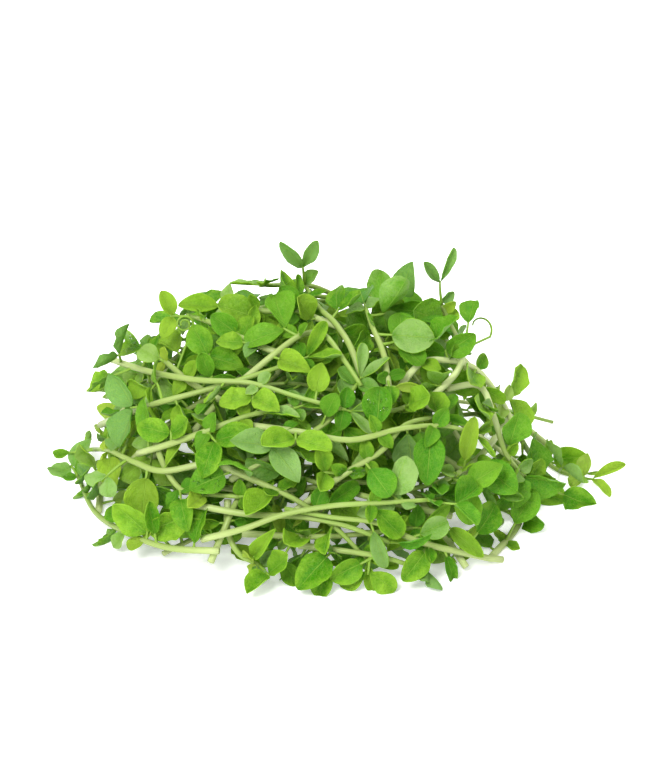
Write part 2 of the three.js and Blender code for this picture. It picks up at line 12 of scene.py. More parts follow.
import bmesh
import bpy
import numpy as np
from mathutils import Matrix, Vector


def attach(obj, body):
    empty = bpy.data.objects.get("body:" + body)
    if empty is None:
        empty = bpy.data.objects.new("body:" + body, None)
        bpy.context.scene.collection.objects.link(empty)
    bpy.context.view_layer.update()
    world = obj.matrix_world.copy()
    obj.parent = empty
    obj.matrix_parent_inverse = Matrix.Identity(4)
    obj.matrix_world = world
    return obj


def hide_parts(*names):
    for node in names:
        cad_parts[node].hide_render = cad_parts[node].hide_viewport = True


bl_info = {
    "name": "Heap of Cut Pea Shoots",
    "version": (1, 0, 0),
    "blender": (4, 5, 0),
    "location": "3D View > Sidebar > Pea Shoots",
    "description": "Builds a loose heap of cut pea shoots around its fixed frame",
    "category": "Add Mesh",
}

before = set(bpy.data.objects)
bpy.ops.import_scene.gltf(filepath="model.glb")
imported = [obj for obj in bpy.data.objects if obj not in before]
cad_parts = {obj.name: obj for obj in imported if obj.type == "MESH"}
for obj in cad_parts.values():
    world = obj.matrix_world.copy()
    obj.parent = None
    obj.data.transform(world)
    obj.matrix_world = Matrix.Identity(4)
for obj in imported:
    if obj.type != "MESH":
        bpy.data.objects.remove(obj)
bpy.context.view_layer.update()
MM = 0.001

# ---- The heap and its shoots, as the frame has them ----
HALF_WIDTH, HALF_DEPTH, HEIGHT = 82, 72, 74
MIDDLE_X, MIDDLE_Y = -7, 8
SIDE_BULGE = 3  # how squarely the heap's sides stand: 2 is an ellipse
CROWN_ROUNDNESS = 0.7
OUTWARD_LIFT = 0.2  # how far the way out of the heap leans upwards
CREST_Y = 24  # the skyline, seen from the front, is this far back
FARTHEST_FRONT = -140
SIGHT_STEP = 0.5
VIEW_TILT = math.radians(30)
CENTRE_SHIFT = np.array((-0.36, -4.42, 0.0))

STEM_BASE, STEM_TIP, STEM_STEPS = 1.3, 0.8, 8
STEM_REST = 0.6
STEM_PRESS = 0.75  # a joint lies no lower than this share of its radius
STEM_MARGIN = 2
ON_SURFACE = 1  # a route's height where its stem lies on the surface
SHIFT_TRIES = 25  # how many places, ever farther from the one asked for, a route is tried at
SCATTERED = 11
SCATTERED_LENGTHS = (80, 110)
SCATTERED_SPREAD = (40, 30)  # how far the middles of scattered shoots stray, across and back
SCATTERED_LAYERS = (0.15, 0.9)  # how high they lie, as shares of the heap's height
SCATTERED_STATIONS = (-0.5, -0.17, 0.17, 0.5)
SCATTERED_DEPTH = 0.7
SCATTERED_WAVER = 5
ROUTE_DRAWS = 300

TENDRIL_RADIUS, TENDRIL_STEPS = 0.42, 14
TENDRIL_DRIFT = 1.5  # how far each turn moves on towards the viewer
TENDRIL_CLOSING = 0.65  # how much of its radius a curl loses by its end
TENDRIL_TRIES, TENDRIL_JOINTS = 12, 6

STALK_HALF_WIDTH = 0.5
SHORTEST_STALK = 3
STALK_SPAN = (2, 16)  # a leaf is planned only where its stalk comes out between these
ROOT_DEPTH = 0.5  # how far beyond the middle of its stem a stalk starts
FORK = 1.1  # how far a pair's stalk goes on between its leaflets
PAIR_REACH, SINGLE_REACH = 0.3, 0.5  # from a leaf's fork to its middle, as shares of its length
BLADE_REST = 0.45
BLADE_FULLNESS = 0.6  # below 1 rounds a leaflet's outline out
BLADE_CENTRE = 0.45  # where its sheet's middle point is along it
LEAST_UPRIGHT = 0.15  # the least that each triangle of a sheet faces as its leaf does, from -1 to 1
WIDTH_DRIFT = (0.92, 1.08)
FOLDS, CUPS, BENDS = (-0.1, 0.5), (0.06, 0.18), (-0.1, 0.22)
FACE_LOOSENESS, LOOSE_SHRINK = 1.5, 0.25  # how much more a leaf's face strays, and how much it shrinks
JOINTS_TRIED = 4
MOST_ON_SHOOT = 6
FRONT_TOSS, COVER_TOSS = 0.8, 0.7  # how far a leaf's face strays from the way it should turn
TIP_LENGTHS, COVER_LENGTHS = (11, 15), (14, 20)
COVER_DRAWS = 108
COVER_MARGIN = 7
COVER_SINK = (0.85, 1.3)  # the most a place is sunk, as a share of the heap's height, and how rarely
EDGEWISE = 0.45  # below 0.5, the places drawn gather towards the heap's edge
LOWEST_PLACE = 1

GAP = 0.35
SAMPLE_STEP = 1.2
BLADE_SAMPLE_RADIUS = 0.62
OWN_REACH = 4  # how near its own root a leaf may touch its own shoot
CELL = 1.3
FRAME_SEED = 31

TO_VIEWER = np.array((0, -math.cos(VIEW_TILT), math.sin(VIEW_TILT)))
VIEW_UP = np.array((0, math.sin(VIEW_TILT), math.cos(VIEW_TILT)))

# The heap's outline as seen from the front, (across, up), going round from its left end.
OUTLINE = [
    (-101, 11), (-98, 20), (-89, 26), (-83, 43), (-79, 59), (-65, 68), (-49, 75), (-33, 76), (-12, 81),
    (4, 79), (17, 83), (36, 84), (44, 72), (49, 58), (58, 41), (73, 36), (76, 17), (101, 6), (81, -2),
    (60, -21), (35, -29), (-5, -33), (-22, -32), (-45, -17), (-80, -9), (-95, 8),
]
OUTLINE_MIDDLE = (-3, 26)

# Shoots over the front, from the cut end to the tip, each point (across, up, sink).
FRONT_ROUTES = [
    [(-81, 51, 0), (-65, 46, 0), (-47, 43, 0), (-29, 42, 0), (-12, 37, 0), (3, 33, 1)],
    [(-84, 27, 0), (-65, 34, 1), (-47, 39, 4), (-30, 44, 5), (-12, 50, 5)],
    [(-69, 17, 1), (-53, 22, 0), (-37, 28, 0), (-28, 31, 1), (-14, 33, 4)],
    [(-65, 32, 7), (-61, 16, 0), (-54, 5, 0), (-44, 3, 0), (-33, 2, 0)],
    [(-48, -1, 1), (-30, -4, 1), (-12, -5, 2), (4, -8, 2), (20, -14, 2)],
    [(60, -21, 0), (38, -16, 0), (26, -12, 0), (15, -7, 0), (-1, -5, 0), (-17, -2, 0)],
    [(-42, 14, 0), (-28, 8, 0), (-13, 1, 0), (0, -8, 2), (10, -18, 1)],
    [(-36, 8, 7), (-24, 15, 3), (-10, 23, 3), (1, 31, 4), (8, 41, 4)],
    [(-16, -5, 6), (4, 10, 0), (17, 18, 0), (25, 27, 0), (35, 30, 1)],
    [(-28, 27, 7), (-12, 25, 2), (6, 22, 2), (24, 26, 3), (38, 27, 2), (48, 25, 2)],
    [(-26, 32, 8), (-12, 34, 4), (4, 35, 4), (19, 32, 4), (32, 36, 4)],
    [(-33, 42, 8), (-21, 52, 1), (-11, 59, 0), (-3, 59, 0), (4, 50, 0), (10, 41, 1)],
    [(13, 34, 7), (7, 53, 0), (1, 63, 0), (-5, 69, 0), (-10, 77, 0)],
    [(20, 38, 5), (18, 52, 3), (14, 62, 2), (12, 68, 1)],
    [(34, 36, 8), (44, 46, 2), (46, 54, 1), (42, 63, 0), (39, 70, 0)],
    [
        (21, 37, 8), (31, 49, 0), (41, 50, 0), (51, 47, 0), (60, 36, 0),
        (68, 21, 0), (74, 14, 0), (82, 10, 0), (89, 8, 0),
    ],
    [(40, 40, 8), (52, 41, 1), (57, 31, 0), (61, 18, 0), (67, 10, 0), (74, 4, 0)],
    [(-40, -17, 0), (-58, -16, 0), (-73, -11, 0), (-85, -4, 0), (-92, 8, 0)],
    [(-43, -21, 0), (-38, -9, 0), (-34, 0, 4), (-28, 8, 9), (-22, 16, 13)],
    [(-46, -13, 5), (-31, -9, 1), (-17, -4, 1), (0, -1, 2), (17, 0, 2), (33, 1, 1)],
    [(-37, 1, 3), (-37, -10, 1), (-33, -18, 0), (-26, -22, 0)],
    [(-12, -15, 4), (4, -17, 2), (17, -19, 1), (30, -23, 0)],
    [(-44, 14, 7), (-60, 11, 1), (-70, 14, 0), (-80, 18, 0), (-88, 18, 0)],
    [(-18, 52, 4), (-30, 57, 2), (-42, 63, 1), (-51, 66, 0)],
    [(2, 62, 5), (-12, 67, 3), (-28, 68, 2), (-42, 70, 0)],
    [(-36, 34, 6), (-50, 42, 4), (-60, 50, 2), (-66, 54, 0)],
    [(64, 30, 8), (52, 16, 2), (40, 8, 2), (25, 4, 5)],
    [(-50, 6, 10), (-20, 4, 12), (10, 7, 12), (35, 2, 10)],
    [(42, -5, 8), (12, 2, 10), (-20, 11, 12)],
    [(-32, -11, 6), (-2, -12, 7), (28, -9, 7)],
]

# Shoots round the sides and back, each point (x, y, z).
BACK_ROUTES = [
    [(-34, 70, ON_SURFACE), (-8, 74, ON_SURFACE), (20, 72, ON_SURFACE), (46, 62, 2)],
    [(56, -42, ON_SURFACE), (67, -16, ON_SURFACE), (66, 14, ON_SURFACE), (58, 44, 4)],
    [(-84, -10, ON_SURFACE), (-82, 18, ON_SURFACE), (-68, 42, ON_SURFACE), (-50, 60, 4)],
    [(44, 66, ON_SURFACE), (22, 62, 26), (-4, 48, 54), (-24, 26, 68)],
    [(-58, 58, ON_SURFACE), (-38, 64, 14), (-12, 68, 26), (16, 68, 24), (40, 62, 12)],
    [(78, 32, 4), (60, 38, 18), (40, 38, 42), (18, 28, 62)],
    [(66, 12, 14), (48, 30, 38), (22, 42, 54), (-8, 40, 60)],
    [(-78, 20, 22), (-56, 34, 40), (-30, 42, 54), (0, 44, 58)],
]

# Forms of a leaf: whether it is a pair, its leaflets' width to length, in what range of
# places along them they are widest, and how much farther apart a pair stands than it must.
PAIR = (True, 0.74, (0.42, 0.64), (0.08, 0.35))
SINGLE = (False, 0.8, (0.4, 0.62), (0.08, 0.35))
FOLDED = (False, 0.42, (0.45, 0.55), (0.08, 0.35))
FOLDED_PAIR = (True, 0.36, (0.56, 0.64), (0.08, 0.35))
UPRIGHT_PAIR = (True, 0.3, (0.56, 0.64), (0, 0.08))
STATIONS = (0.5, 1.4)  # the corners of a leaflet's outline in the frame, as shares of its belly

# The leaves seen on the front: across, up, leaflet length, form.
FRONT_LEAVES = [
    (-11, 86, 16, UPRIGHT_PAIR), (-9, 73, 10, FOLDED_PAIR), (38, 81, 15, UPRIGHT_PAIR),
    (10, 74, 16, SINGLE), (18, 73, 17, SINGLE), (28, 71, 16, SINGLE), (35, 66, 16, SINGLE),
    (-48, 70, 15, FOLDED), (-60, 66, 10, PAIR), (-38, 63, 12, SINGLE), (-36, 57, 10, SINGLE),
    (-21, 63, 16, PAIR), (-73, 56, 13, SINGLE), (-73, 44, 10, PAIR), (-64, 52, 10, SINGLE),
    (-96, 14, 12, PAIR), (-86, 19, 14, SINGLE), (-78, 12, 15, SINGLE), (-86, 4, 18, FOLDED),
    (-67, 1, 16, SINGLE), (-65, -7, 16, PAIR), (-79, -6, 10, SINGLE), (-78, 21, 8, SINGLE),
    (-43, 8, 14, SINGLE), (-39, 19, 14, PAIR), (-53, -3, 12, SINGLE), (-29, 34, 12, PAIR),
    (-26, 0, 13, SINGLE), (-5, 43, 11, SINGLE), (-1, 34, 10, SINGLE), (16, 34, 14, SINGLE),
    (19, 40, 9, SINGLE), (29, 36, 14, SINGLE), (40, 56, 13, PAIR), (-5, 11, 10, PAIR),
    (16, 8, 14, SINGLE), (34, 15, 18, SINGLE), (37, 6, 15, FOLDED), (48, 21, 16, FOLDED),
    (51, 4, 14, PAIR), (50, 44, 14, SINGLE), (65, 36, 15, PAIR), (62, 27, 16, SINGLE),
    (53, 32, 15, SINGLE), (59, 8, 16, SINGLE), (71, 12, 18, SINGLE), (78, 2, 15, SINGLE),
    (97, 7, 13, FOLDED_PAIR), (88, 1, 15, SINGLE), (86, 14, 14, SINGLE), (66, 4, 12, SINGLE),
    (68, -2, 15, SINGLE), (55, -6, 14, SINGLE), (-21, -27, 12, PAIR), (-26, -16, 14, FOLDED),
    (-15, -16, 16, SINGLE), (-10, -12, 16, FOLDED), (-7, -24, 16, SINGLE), (4, -23, 13, SINGLE),
    (16, -16, 14, FOLDED), (29, -23, 14, SINGLE), (38, -21, 12, PAIR), (33, -15, 17, FOLDED),
    (47, -14, 16, FOLDED), (36, -10, 12, SINGLE), (20, -7, 14, SINGLE),
]

# Tendrils: the place each starts near, its curl's middle, radius, turns and hand.
TENDRILS = [((-58, 48), (-53, 63), 3.2, 1.6, 1), ((48, 54), (52, 62), 5.5, 0.55, 1)]


# ---- Vectors ----
def cross(a, b):
    return np.array((a[1] * b[2] - a[2] * b[1], a[2] * b[0] - a[0] * b[2], a[0] * b[1] - a[1] * b[0]))


def length_of(v):
    return math.sqrt(v[0] * v[0] + v[1] * v[1] + v[2] * v[2])


def unit(v):
    return v * (1 / (length_of(v) or 1))


def turned(start, to, angle):
    """The direction start turned towards one at right angles to it."""
    return start * math.cos(angle) + to * math.sin(angle)


def flattened(v, normal):
    """The part of v at right angles to normal, as a direction."""
    return unit(v - normal * float(v @ normal))


# ---- Seeded draws ----
class Draws:
    """The frame's own stream of numbers from 0 to 1."""

    WORD = 0xFFFFFFFF
    STRIDE = 0x6D2B79F5

    def __init__(self, seed):
        self.state = seed

    def next(self):
        self.state = (self.state + self.STRIDE) & self.WORD
        t = self.state
        t = ((t ^ (t >> 15)) * (t | 1)) & self.WORD
        t ^= (t + (((t ^ (t >> 7)) * (t | 61)) & self.WORD)) & self.WORD
        return ((t ^ (t >> 14)) & self.WORD) / (self.WORD + 1)

    def between(self, low, high):
        return low + (high - low) * self.next()

    def either(self, size):
        return self.between(-size, size)

    def any_way(self, size):
        return np.array([self.either(size) for _ in range(3)])


# ---- The heap's form ----
def heap_height(x, y):
    rest = 1 - abs((x - MIDDLE_X) / HALF_WIDTH) ** SIDE_BULGE - abs((y - MIDDLE_Y) / HALF_DEPTH) ** 2
    return HEIGHT * rest**CROWN_ROUNDNESS if rest > 0 else 0


def seen(across, up, sink):
    """The place seen from the front at across and up, sunk so far along the line of sight."""

    def height_at(y):
        return (up - y * VIEW_UP[1]) / VIEW_UP[2]

    y = FARTHEST_FRONT
    while y < CREST_Y and height_at(y) > max(heap_height(across, y), STEM_REST):
        y += SIGHT_STEP
    y = min(y, CREST_Y) - sink * TO_VIEWER[1]
    if height_at(y) >= STEM_REST:
        return np.array((across, y, height_at(y)))
    return np.array((across, (up - STEM_REST * VIEW_UP[2]) / VIEW_UP[1], STEM_REST))


def outward(p):
    """Out of the heap at a point."""
    sideways, backwards = (p[0] - MIDDLE_X) / HALF_WIDTH, (p[1] - MIDDLE_Y) / HALF_DEPTH
    return unit(np.array((sideways, backwards, OUTWARD_LIFT + p[2] / HEIGHT)))


def lifted(point, lift):
    """A route's point moved up, unless its stem lies on the surface there."""
    x, y, z = point
    return np.array((x, y, max(z + lift, ON_SURFACE) if z > ON_SURFACE else z), float)


def is_within(p, margin):
    """Whether a point is at least so far inside the outline, as seen from the front."""
    away_x, away_y = p[0] - OUTLINE_MIDDLE[0], float(p @ VIEW_UP) - OUTLINE_MIDDLE[1]
    push = 1 + margin / max(math.hypot(away_x, away_y), 1)
    across, up = OUTLINE_MIDDLE[0] + away_x * push, OUTLINE_MIDDLE[1] + away_y * push
    inside = False
    for (x0, y0), (x1, y1) in zip([OUTLINE[-1], *OUTLINE], OUTLINE):
        if (y0 > up) != (y1 > up) and across < x0 + (up - y0) / (y1 - y0) * (x1 - x0):
            inside = not inside
    return inside


# ---- Room ----
class Room:
    """Where everything laid so far is, as round samples, listed in each cell that they reach."""

    def __init__(self, widest):
        self.entries = []
        self.sort_for(widest)

    def sort_for(self, widest):
        """Lists every sample again, for samples up to this radius to be set against."""
        self.widest = widest
        self.near = {}
        for entry in self.entries:
            self.list_entry(entry)

    def list_entry(self, entry):
        reach = entry[3] + self.widest + GAP
        spans = []
        for v in entry[:3]:
            spans.append(range(math.floor((v - reach) / CELL), math.floor((v + reach) / CELL) + 1))
        for a in spans[0]:
            for b in spans[1]:
                for c in spans[2]:
                    self.near.setdefault((a, b, c), []).append(entry)

    def take(self, samples, owner):
        distinct = {}
        for x, y, z, radius in samples:
            distinct[round(x, 6), round(y, 6), round(z, 6)] = (x, y, z, radius, owner)
        for entry in distinct.values():
            self.entries.append(entry)
            self.list_entry(entry)

    def clear(self, samples, owner=None, root=None, gap=GAP, own_reach=OWN_REACH):
        """Whether these keep their gap to all that was laid, but for their own shoot near the root."""
        rx, ry, rz = (0, 0, 0) if root is None else root.tolist()
        floor, near, own_square = math.floor, self.near, own_reach * own_reach
        for x, y, z, radius in samples:
            others = near.get((floor(x / CELL), floor(y / CELL), floor(z / CELL)))
            if not others:
                continue
            by_root = root is not None and (x - rx) ** 2 + (y - ry) ** 2 + (z - rz) ** 2 < own_square
            for ox, oy, oz, o_radius, o_owner in others:
                reach = radius + o_radius + gap
                if (x - ox) ** 2 + (y - oy) ** 2 + (z - oz) ** 2 < reach * reach and not (
                    by_root and o_owner == owner
                ):
                    return False
        return True


def line_samples(points, radius_at):
    """Samples along a line, close enough that nothing passes between them."""
    steps = len(points) - 1
    samples = [(*points[steps], radius_at(1))]
    for i in range(steps):
        count = math.ceil(length_of(points[i + 1] - points[i]) / SAMPLE_STEP)
        for k in range(count):
            at = points[i] + (points[i + 1] - points[i]) * (k / count)
            samples.append((*at, radius_at((i + k / count) / steps)))
    return samples


THIRDS = {}


def spread_over(n):
    """Shares of a triangle's three corners, n steps along each side."""
    if n not in THIRDS:
        steps = [(i, j) for i in range(n + 1) for j in range(n - i + 1)]
        THIRDS[n] = np.array([(i / n, j / n, (n - i - j) / n) for i, j in steps])
    return THIRDS[n]


def sheet_samples(points, triangles):
    """Samples over a sheet, close enough that nothing passes between them."""
    for a, b, c in triangles:
        p, q, r = points[a], points[b], points[c]
        longest = max(length_of(p - q), length_of(q - r), length_of(r - p))
        for at in (spread_over(math.ceil(longest / SAMPLE_STEP)) @ np.array((p, q, r))).tolist():
            yield (*at, BLADE_SAMPLE_RADIUS)


# ---- Shoots ----
class Shoot:
    """A stem's route and joints, with the leaves and tendrils that grow from it."""

    def __init__(self, owner, route, base, tip):
        self.owner, self.route, self.base, self.tip = owner, route, base, tip
        self.joints = [self.at(i / STEM_STEPS) for i in range(STEM_STEPS + 1)]
        self.leaves, self.tendrils, self.taken = [], [], set()

    def at(self, t):
        """The place on the stem at t from its cut end to its tip."""
        p = route_point(self.route, t)
        p[2] = max(p[2], STEM_PRESS * (self.base + (self.tip - self.base) * t))
        return p

    def nearest(self, place):
        """How far along the stem, from 0 to 1, the joint nearest to a place is."""
        away = [length_of(joint - place) for joint in self.joints]
        return away.index(min(away)) / STEM_STEPS


class Leaf:
    """One leaf, single or paired, with its stalk."""

    def __init__(self, **facts):
        self.__dict__.update(facts)


def route_point(points, t):
    """A point on the smooth curve through these points."""
    last = len(points) - 1
    place = last * t
    i = min(math.floor(place), last - 1)
    w = place - i
    before = points[i - 1] if i > 0 else 2 * points[0] - points[1]
    p, q = points[i], points[i + 1]
    after = points[i + 2] if i + 2 <= last else 2 * points[last] - points[last - 1]
    leave, arrive = 0.5 * (q - before), 0.5 * (after - p)
    bow, ease = -3 * p + 3 * q - 2 * leave - arrive, 2 * p - 2 * q + leave + arrive
    return p + leave * w + bow * w * w + ease * w * w * w


def blade_half(s, belly):
    """Half a leaflet's width, as a share of its greatest, at s from its base to its tip."""
    t = s ** (math.log(0.5) / math.log(belly))
    return max(0.0, 4 * t * (1 - t)) ** BLADE_FULLNESS


def leaflets_of(leaf):
    """Each leaflet as its foot, its run, width and up directions, and its side of the stalk."""
    fork = leaf.root + leaf.along * leaf.stalk
    across = unit(cross(leaf.face, leaf.along))
    if not leaf.paired:
        return [(fork, leaf.along, across, leaf.face, -1)]
    pair = []
    for side in (1, -1):
        out = turned(across * side, leaf.face, leaf.fold)
        run = turned(leaf.along, out, leaf.spread)
        width = turned(leaf.along, out, leaf.spread - math.pi / 2)
        pair.append((fork, run, width, cross(width, run) * side, side))
    return pair


def leaf_sheet(leaf):
    """The frame's flat sheet of a leaf, as points and triangles that face its upper side."""
    across = unit(cross(leaf.face, leaf.along))
    points, triangles = [], []

    def add(p):
        p[2] = max(p[2], BLADE_REST)
        points.append(p)
        return len(points) - 1

    def on_stalk(reach, side):
        return add(leaf.root + leaf.along * reach + across * (side * STALK_HALF_WIDTH))

    def leaflet(foot, base, run, width, up, first):
        def at(s, side):
            half = blade_half(s, leaf.belly)
            rise = leaf.cup * leaf.width * side * side * half - leaf.bend * leaf.length * s * s
            sideways = width * (side * 0.5 * leaf.width * half)
            return add(base + run * (s * leaf.length) + sideways + up * rise)

        corners = [share * leaf.belly for share in STATIONS]
        ring = [*foot, *[at(s, first) for s in corners], at(1, 0)]
        ring += [at(s, -first) for s in reversed(corners)]
        centre = at(BLADE_CENTRE, 0)
        triangles.extend((centre, v, ring[(i + 1) % len(ring)]) for i, v in enumerate(ring))

    root_left, root_right = on_stalk(-ROOT_DEPTH, -1), on_stalk(-ROOT_DEPTH, 1)
    fork_left, fork_right = on_stalk(leaf.stalk, -1), on_stalk(leaf.stalk, 1)
    triangles += [(root_left, fork_left, fork_right), (root_left, fork_right, root_right)]
    if leaf.paired:
        end = on_stalk(leaf.stalk + FORK, 0)
        triangles.append((fork_left, end, fork_right))
    for base, run, width, up, first in leaflets_of(leaf):
        if not leaf.paired:
            foot = (fork_right, fork_left)
        else:
            foot = (fork_right, end) if first > 0 else (end, fork_left)
        leaflet(foot, base, run, width, up, first)
    return points, triangles


def is_sound(points, triangles, face):
    """A sheet pressed flat against the surface below may not have doubled back on itself."""

    def uprightness(a, b, c):
        return float(unit(cross(points[b] - points[a], points[c] - points[a])) @ face)

    return all(uprightness(*triangle) > LEAST_UPRIGHT for triangle in triangles)


class Heap:
    """The whole plan: every shoot, leaf and tendril, laid one after another where there is room."""

    # Manners: how often a leaf is tried, how loosely at last, and whether its tip stays in the outline
    STRICT = (10, 0.3, False)
    LOOSE = (30, 1.0, False)
    KEPT = (30, 1.0, True)

    def __init__(self):
        self.draws = Draws(FRAME_SEED)
        self.room = Room(STEM_BASE)
        self.shoots = []

    # Draws of places, faces and forms
    def scattered_route(self):
        d = self.draws
        heading, length = d.between(0, math.pi), d.between(*SCATTERED_LENGTHS)
        middle_x, middle_y = d.either(SCATTERED_SPREAD[0]), MIDDLE_Y + d.either(SCATTERED_SPREAD[1])
        layer = d.between(*SCATTERED_LAYERS)
        route = []
        for share in SCATTERED_STATIONS:
            x = middle_x + math.cos(heading) * length * share
            y = middle_y + math.sin(heading) * length * share * SCATTERED_DEPTH
            z = max(STEM_REST, layer * heap_height(x, y) + d.either(SCATTERED_WAVER))
            route.append(np.array((x, y, z)))
        return route

    def round_place(self, half_depth, sink, rareness):
        """A place anywhere round the heap, at its surface or sunk below it."""
        d = self.draws
        bearing, share = d.between(0, 2 * math.pi), d.next() ** EDGEWISE
        x = MIDDLE_X + HALF_WIDTH * share * math.cos(bearing)
        y = MIDDLE_Y + half_depth * share * math.sin(bearing)
        height = heap_height(x, y) * (1 - sink * d.next() ** rareness)
        return np.array((x, y, max(LOWEST_PLACE, height)))

    def facing(self, place, to_viewer, toss):
        """Where a leaf's upper side turns: out of the heap, so much to the viewer, and a little astray."""
        return unit(TO_VIEWER * to_viewer + outward(place) + self.draws.any_way(toss))

    def leaf_plan(self, root, along, facing, stalk, form, length):
        """All that a leaf is, before it is tried."""
        d = self.draws
        paired, slimness, bellies, apart = form
        width = length * slimness * d.between(*WIDTH_DRIFT)
        belly = d.between(*bellies)
        corner = STATIONS[0] * belly
        least = math.atan(0.5 * width * blade_half(corner, belly) / (corner * length))
        return dict(
            root=root, along=along, face=flattened(facing, along), stalk=stalk,
            paired=paired, length=length, width=width, belly=belly,
            spread=least + d.between(*apart), fold=d.between(*FOLDS),
            cup=d.between(*CUPS), bend=d.between(*BENDS),
        )

    # Growth
    def lay_shoot(self, routes, base=STEM_BASE, tip=STEM_TIP, gap=GAP):
        """A shoot along the first of these routes that has room for it."""
        for route in routes:
            shoot = Shoot(len(self.shoots), route, base, tip)
            samples = line_samples(shoot.joints, lambda t: base + (tip - base) * t)
            if self.room.clear(samples, gap=gap):
                self.room.take(samples, shoot.owner)
                self.shoots.append(shoot)
                return shoot
        return None

    def grow_leaf(self, shoot, plan, manner, gap=GAP, own_reach=OWN_REACH, least_stalk=SHORTEST_STALK):
        """The planned leaf, tried ever more loosely until it is clear of all that was laid before it."""
        tries, loosest, kept = manner
        for attempt in range(tries):
            loose = loosest * attempt / tries
            along = unit(plan["along"] + self.draws.any_way(loose))
            face = flattened(plan["face"] + self.draws.any_way(FACE_LOOSENESS * loose), along)
            size = 1 - LOOSE_SHRINK * loose
            leaf = Leaf(**plan)
            leaf.along, leaf.face = along, face
            leaf.stalk = max(least_stalk, plan["stalk"] * size)
            leaf.length, leaf.width = plan["length"] * size, plan["width"] * size
            if kept and not is_within(leaf.root + along * (leaf.stalk + leaf.length), 0):
                continue
            sheet = leaf_sheet(leaf)
            if not is_sound(*sheet, face):
                continue
            if self.room.clear(sheet_samples(*sheet), shoot.owner, leaf.root, gap, own_reach):
                self.room.take(sheet_samples(*sheet), shoot.owner)
                shoot.leaves.append(leaf)
                return leaf
        return None

    def leaf_near(self, place, length, form, facing, manner, roots, span, most_tried, **room):
        """The shoot on which a leaf grew with its middle near a place, from one of the nearest roots."""
        reach = (PAIR_REACH if form[0] else SINGLE_REACH) * length
        near = []
        for shoot, spot, root in roots:
            away = length_of(root - place)
            if spot not in shoot.taken and reach + span[0] < away < reach + span[1]:
                near.append((away, shoot, spot, root))
        near.sort(key=lambda one: one[0])
        for away, shoot, spot, root in near[:most_tried]:
            plan = self.leaf_plan(root, unit(place - root), facing, away - reach, form, length)
            if self.grow_leaf(shoot, plan, manner, **room):
                shoot.taken.add(spot)
                return shoot
        return None

    def leaf_at(self, place, length, form, facing, manner):
        """A leaf of the frame with its middle near a place, where it finds room."""
        open_shoots = [shoot for shoot in self.shoots if len(shoot.leaves) < MOST_ON_SHOOT]
        roots = [(s, i, s.joints[i]) for s in open_shoots for i in range(1, STEM_STEPS + 1)]
        return self.leaf_near(place, length, form, facing, manner, roots, STALK_SPAN, JOINTS_TRIED)

    def grow_tendril(self, start, curl, radius, turns, hand):
        """A tendril from the joint nearest to its start that leaves room for it."""
        base = seen(*start, 0)
        joints = [(shoot, i) for shoot in self.shoots for i in range(2, STEM_STEPS)]
        joints.sort(key=lambda joint: length_of(joint[0].joints[joint[1]] - base))
        for shoot, i in joints[:TENDRIL_JOINTS]:
            root = shoot.joints[i]
            for lift in range(TENDRIL_TRIES):
                middle = seen(*curl, 0) + TO_VIEWER * lift
                points = tendril_points(root, middle, radius, turns, hand, TENDRIL_STEPS)
                samples = line_samples(points, lambda t: TENDRIL_RADIUS)
                if self.room.clear(samples, shoot.owner, root):
                    self.room.take(samples, shoot.owner)
                    shoot.tendrils.append((root, middle, radius, turns, hand))
                    shoot.taken.add(i)
                    return

    def lay_frame(self):
        """Everything that the frame has, in the frame's own order."""
        shifts = [math.ceil(i / 2) * (1 if i % 2 else -1) for i in range(SHIFT_TRIES)]
        for route in FRONT_ROUTES:
            self.lay_shoot(
                [seen(across, up, sink + shift) for across, up, sink in route] for shift in shifts
            )
        for route in BACK_ROUTES:
            self.lay_shoot([lifted(point, lift) for point in route] for lift in shifts)
        for _ in range(SCATTERED):
            routes = [self.scattered_route() for _ in range(ROUTE_DRAWS)]
            self.lay_shoot(route for route in routes if all(is_within(p, STEM_MARGIN) for p in route))
        self.room.sort_for(BLADE_SAMPLE_RADIUS)
        for tendril in TENDRILS:
            self.grow_tendril(*tendril)
        for across, up, length, form in FRONT_LEAVES:
            place = seen(across, up, 0) + TO_VIEWER * 2
            facing = self.facing(place, 2, FRONT_TOSS)
            if not self.leaf_at(place, length, form, facing, self.STRICT):
                self.leaf_at(place, length, form, facing, self.LOOSE)
        for k, shoot in enumerate(self.shoots):
            if STEM_STEPS in shoot.taken:
                continue
            root = shoot.joints[STEM_STEPS]
            along = unit(root - shoot.joints[STEM_STEPS - 1])
            length = self.draws.between(*TIP_LENGTHS)
            plan = self.leaf_plan(root, along, outward(root), SHORTEST_STALK, FOLDED_PAIR, length)
            if self.grow_leaf(shoot, plan, self.LOOSE if k < len(FRONT_ROUTES) else self.KEPT):
                shoot.taken.add(STEM_STEPS)
        for _ in range(COVER_DRAWS):
            place = self.round_place(HALF_DEPTH, *COVER_SINK)
            facing = self.facing(place, 0, COVER_TOSS)
            length = self.draws.between(*COVER_LENGTHS)
            if is_within(place, COVER_MARGIN):
                self.leaf_at(place, length, PAIR, facing, self.KEPT)


def tendril_points(root, middle, radius, turns, hand, steps):
    """The line of a tendril: from its root straight to the rim of its curl, then round and inwards."""
    to_root = root - middle
    start = math.atan2(float(to_root @ VIEW_UP), to_root[0]) + hand * math.pi / 2
    points = [root.copy()]
    for i in range(steps):
        share = i / (steps - 1)
        angle = start + hand * share * turns * 2 * math.pi
        reach = radius * (1 - TENDRIL_CLOSING * share)
        points.append(
            middle + VIEW_UP * (reach * math.sin(angle)) + TO_VIEWER * (share * turns * TENDRIL_DRIFT)
            + np.array((reach * math.cos(angle), 0, 0))
        )
    return points


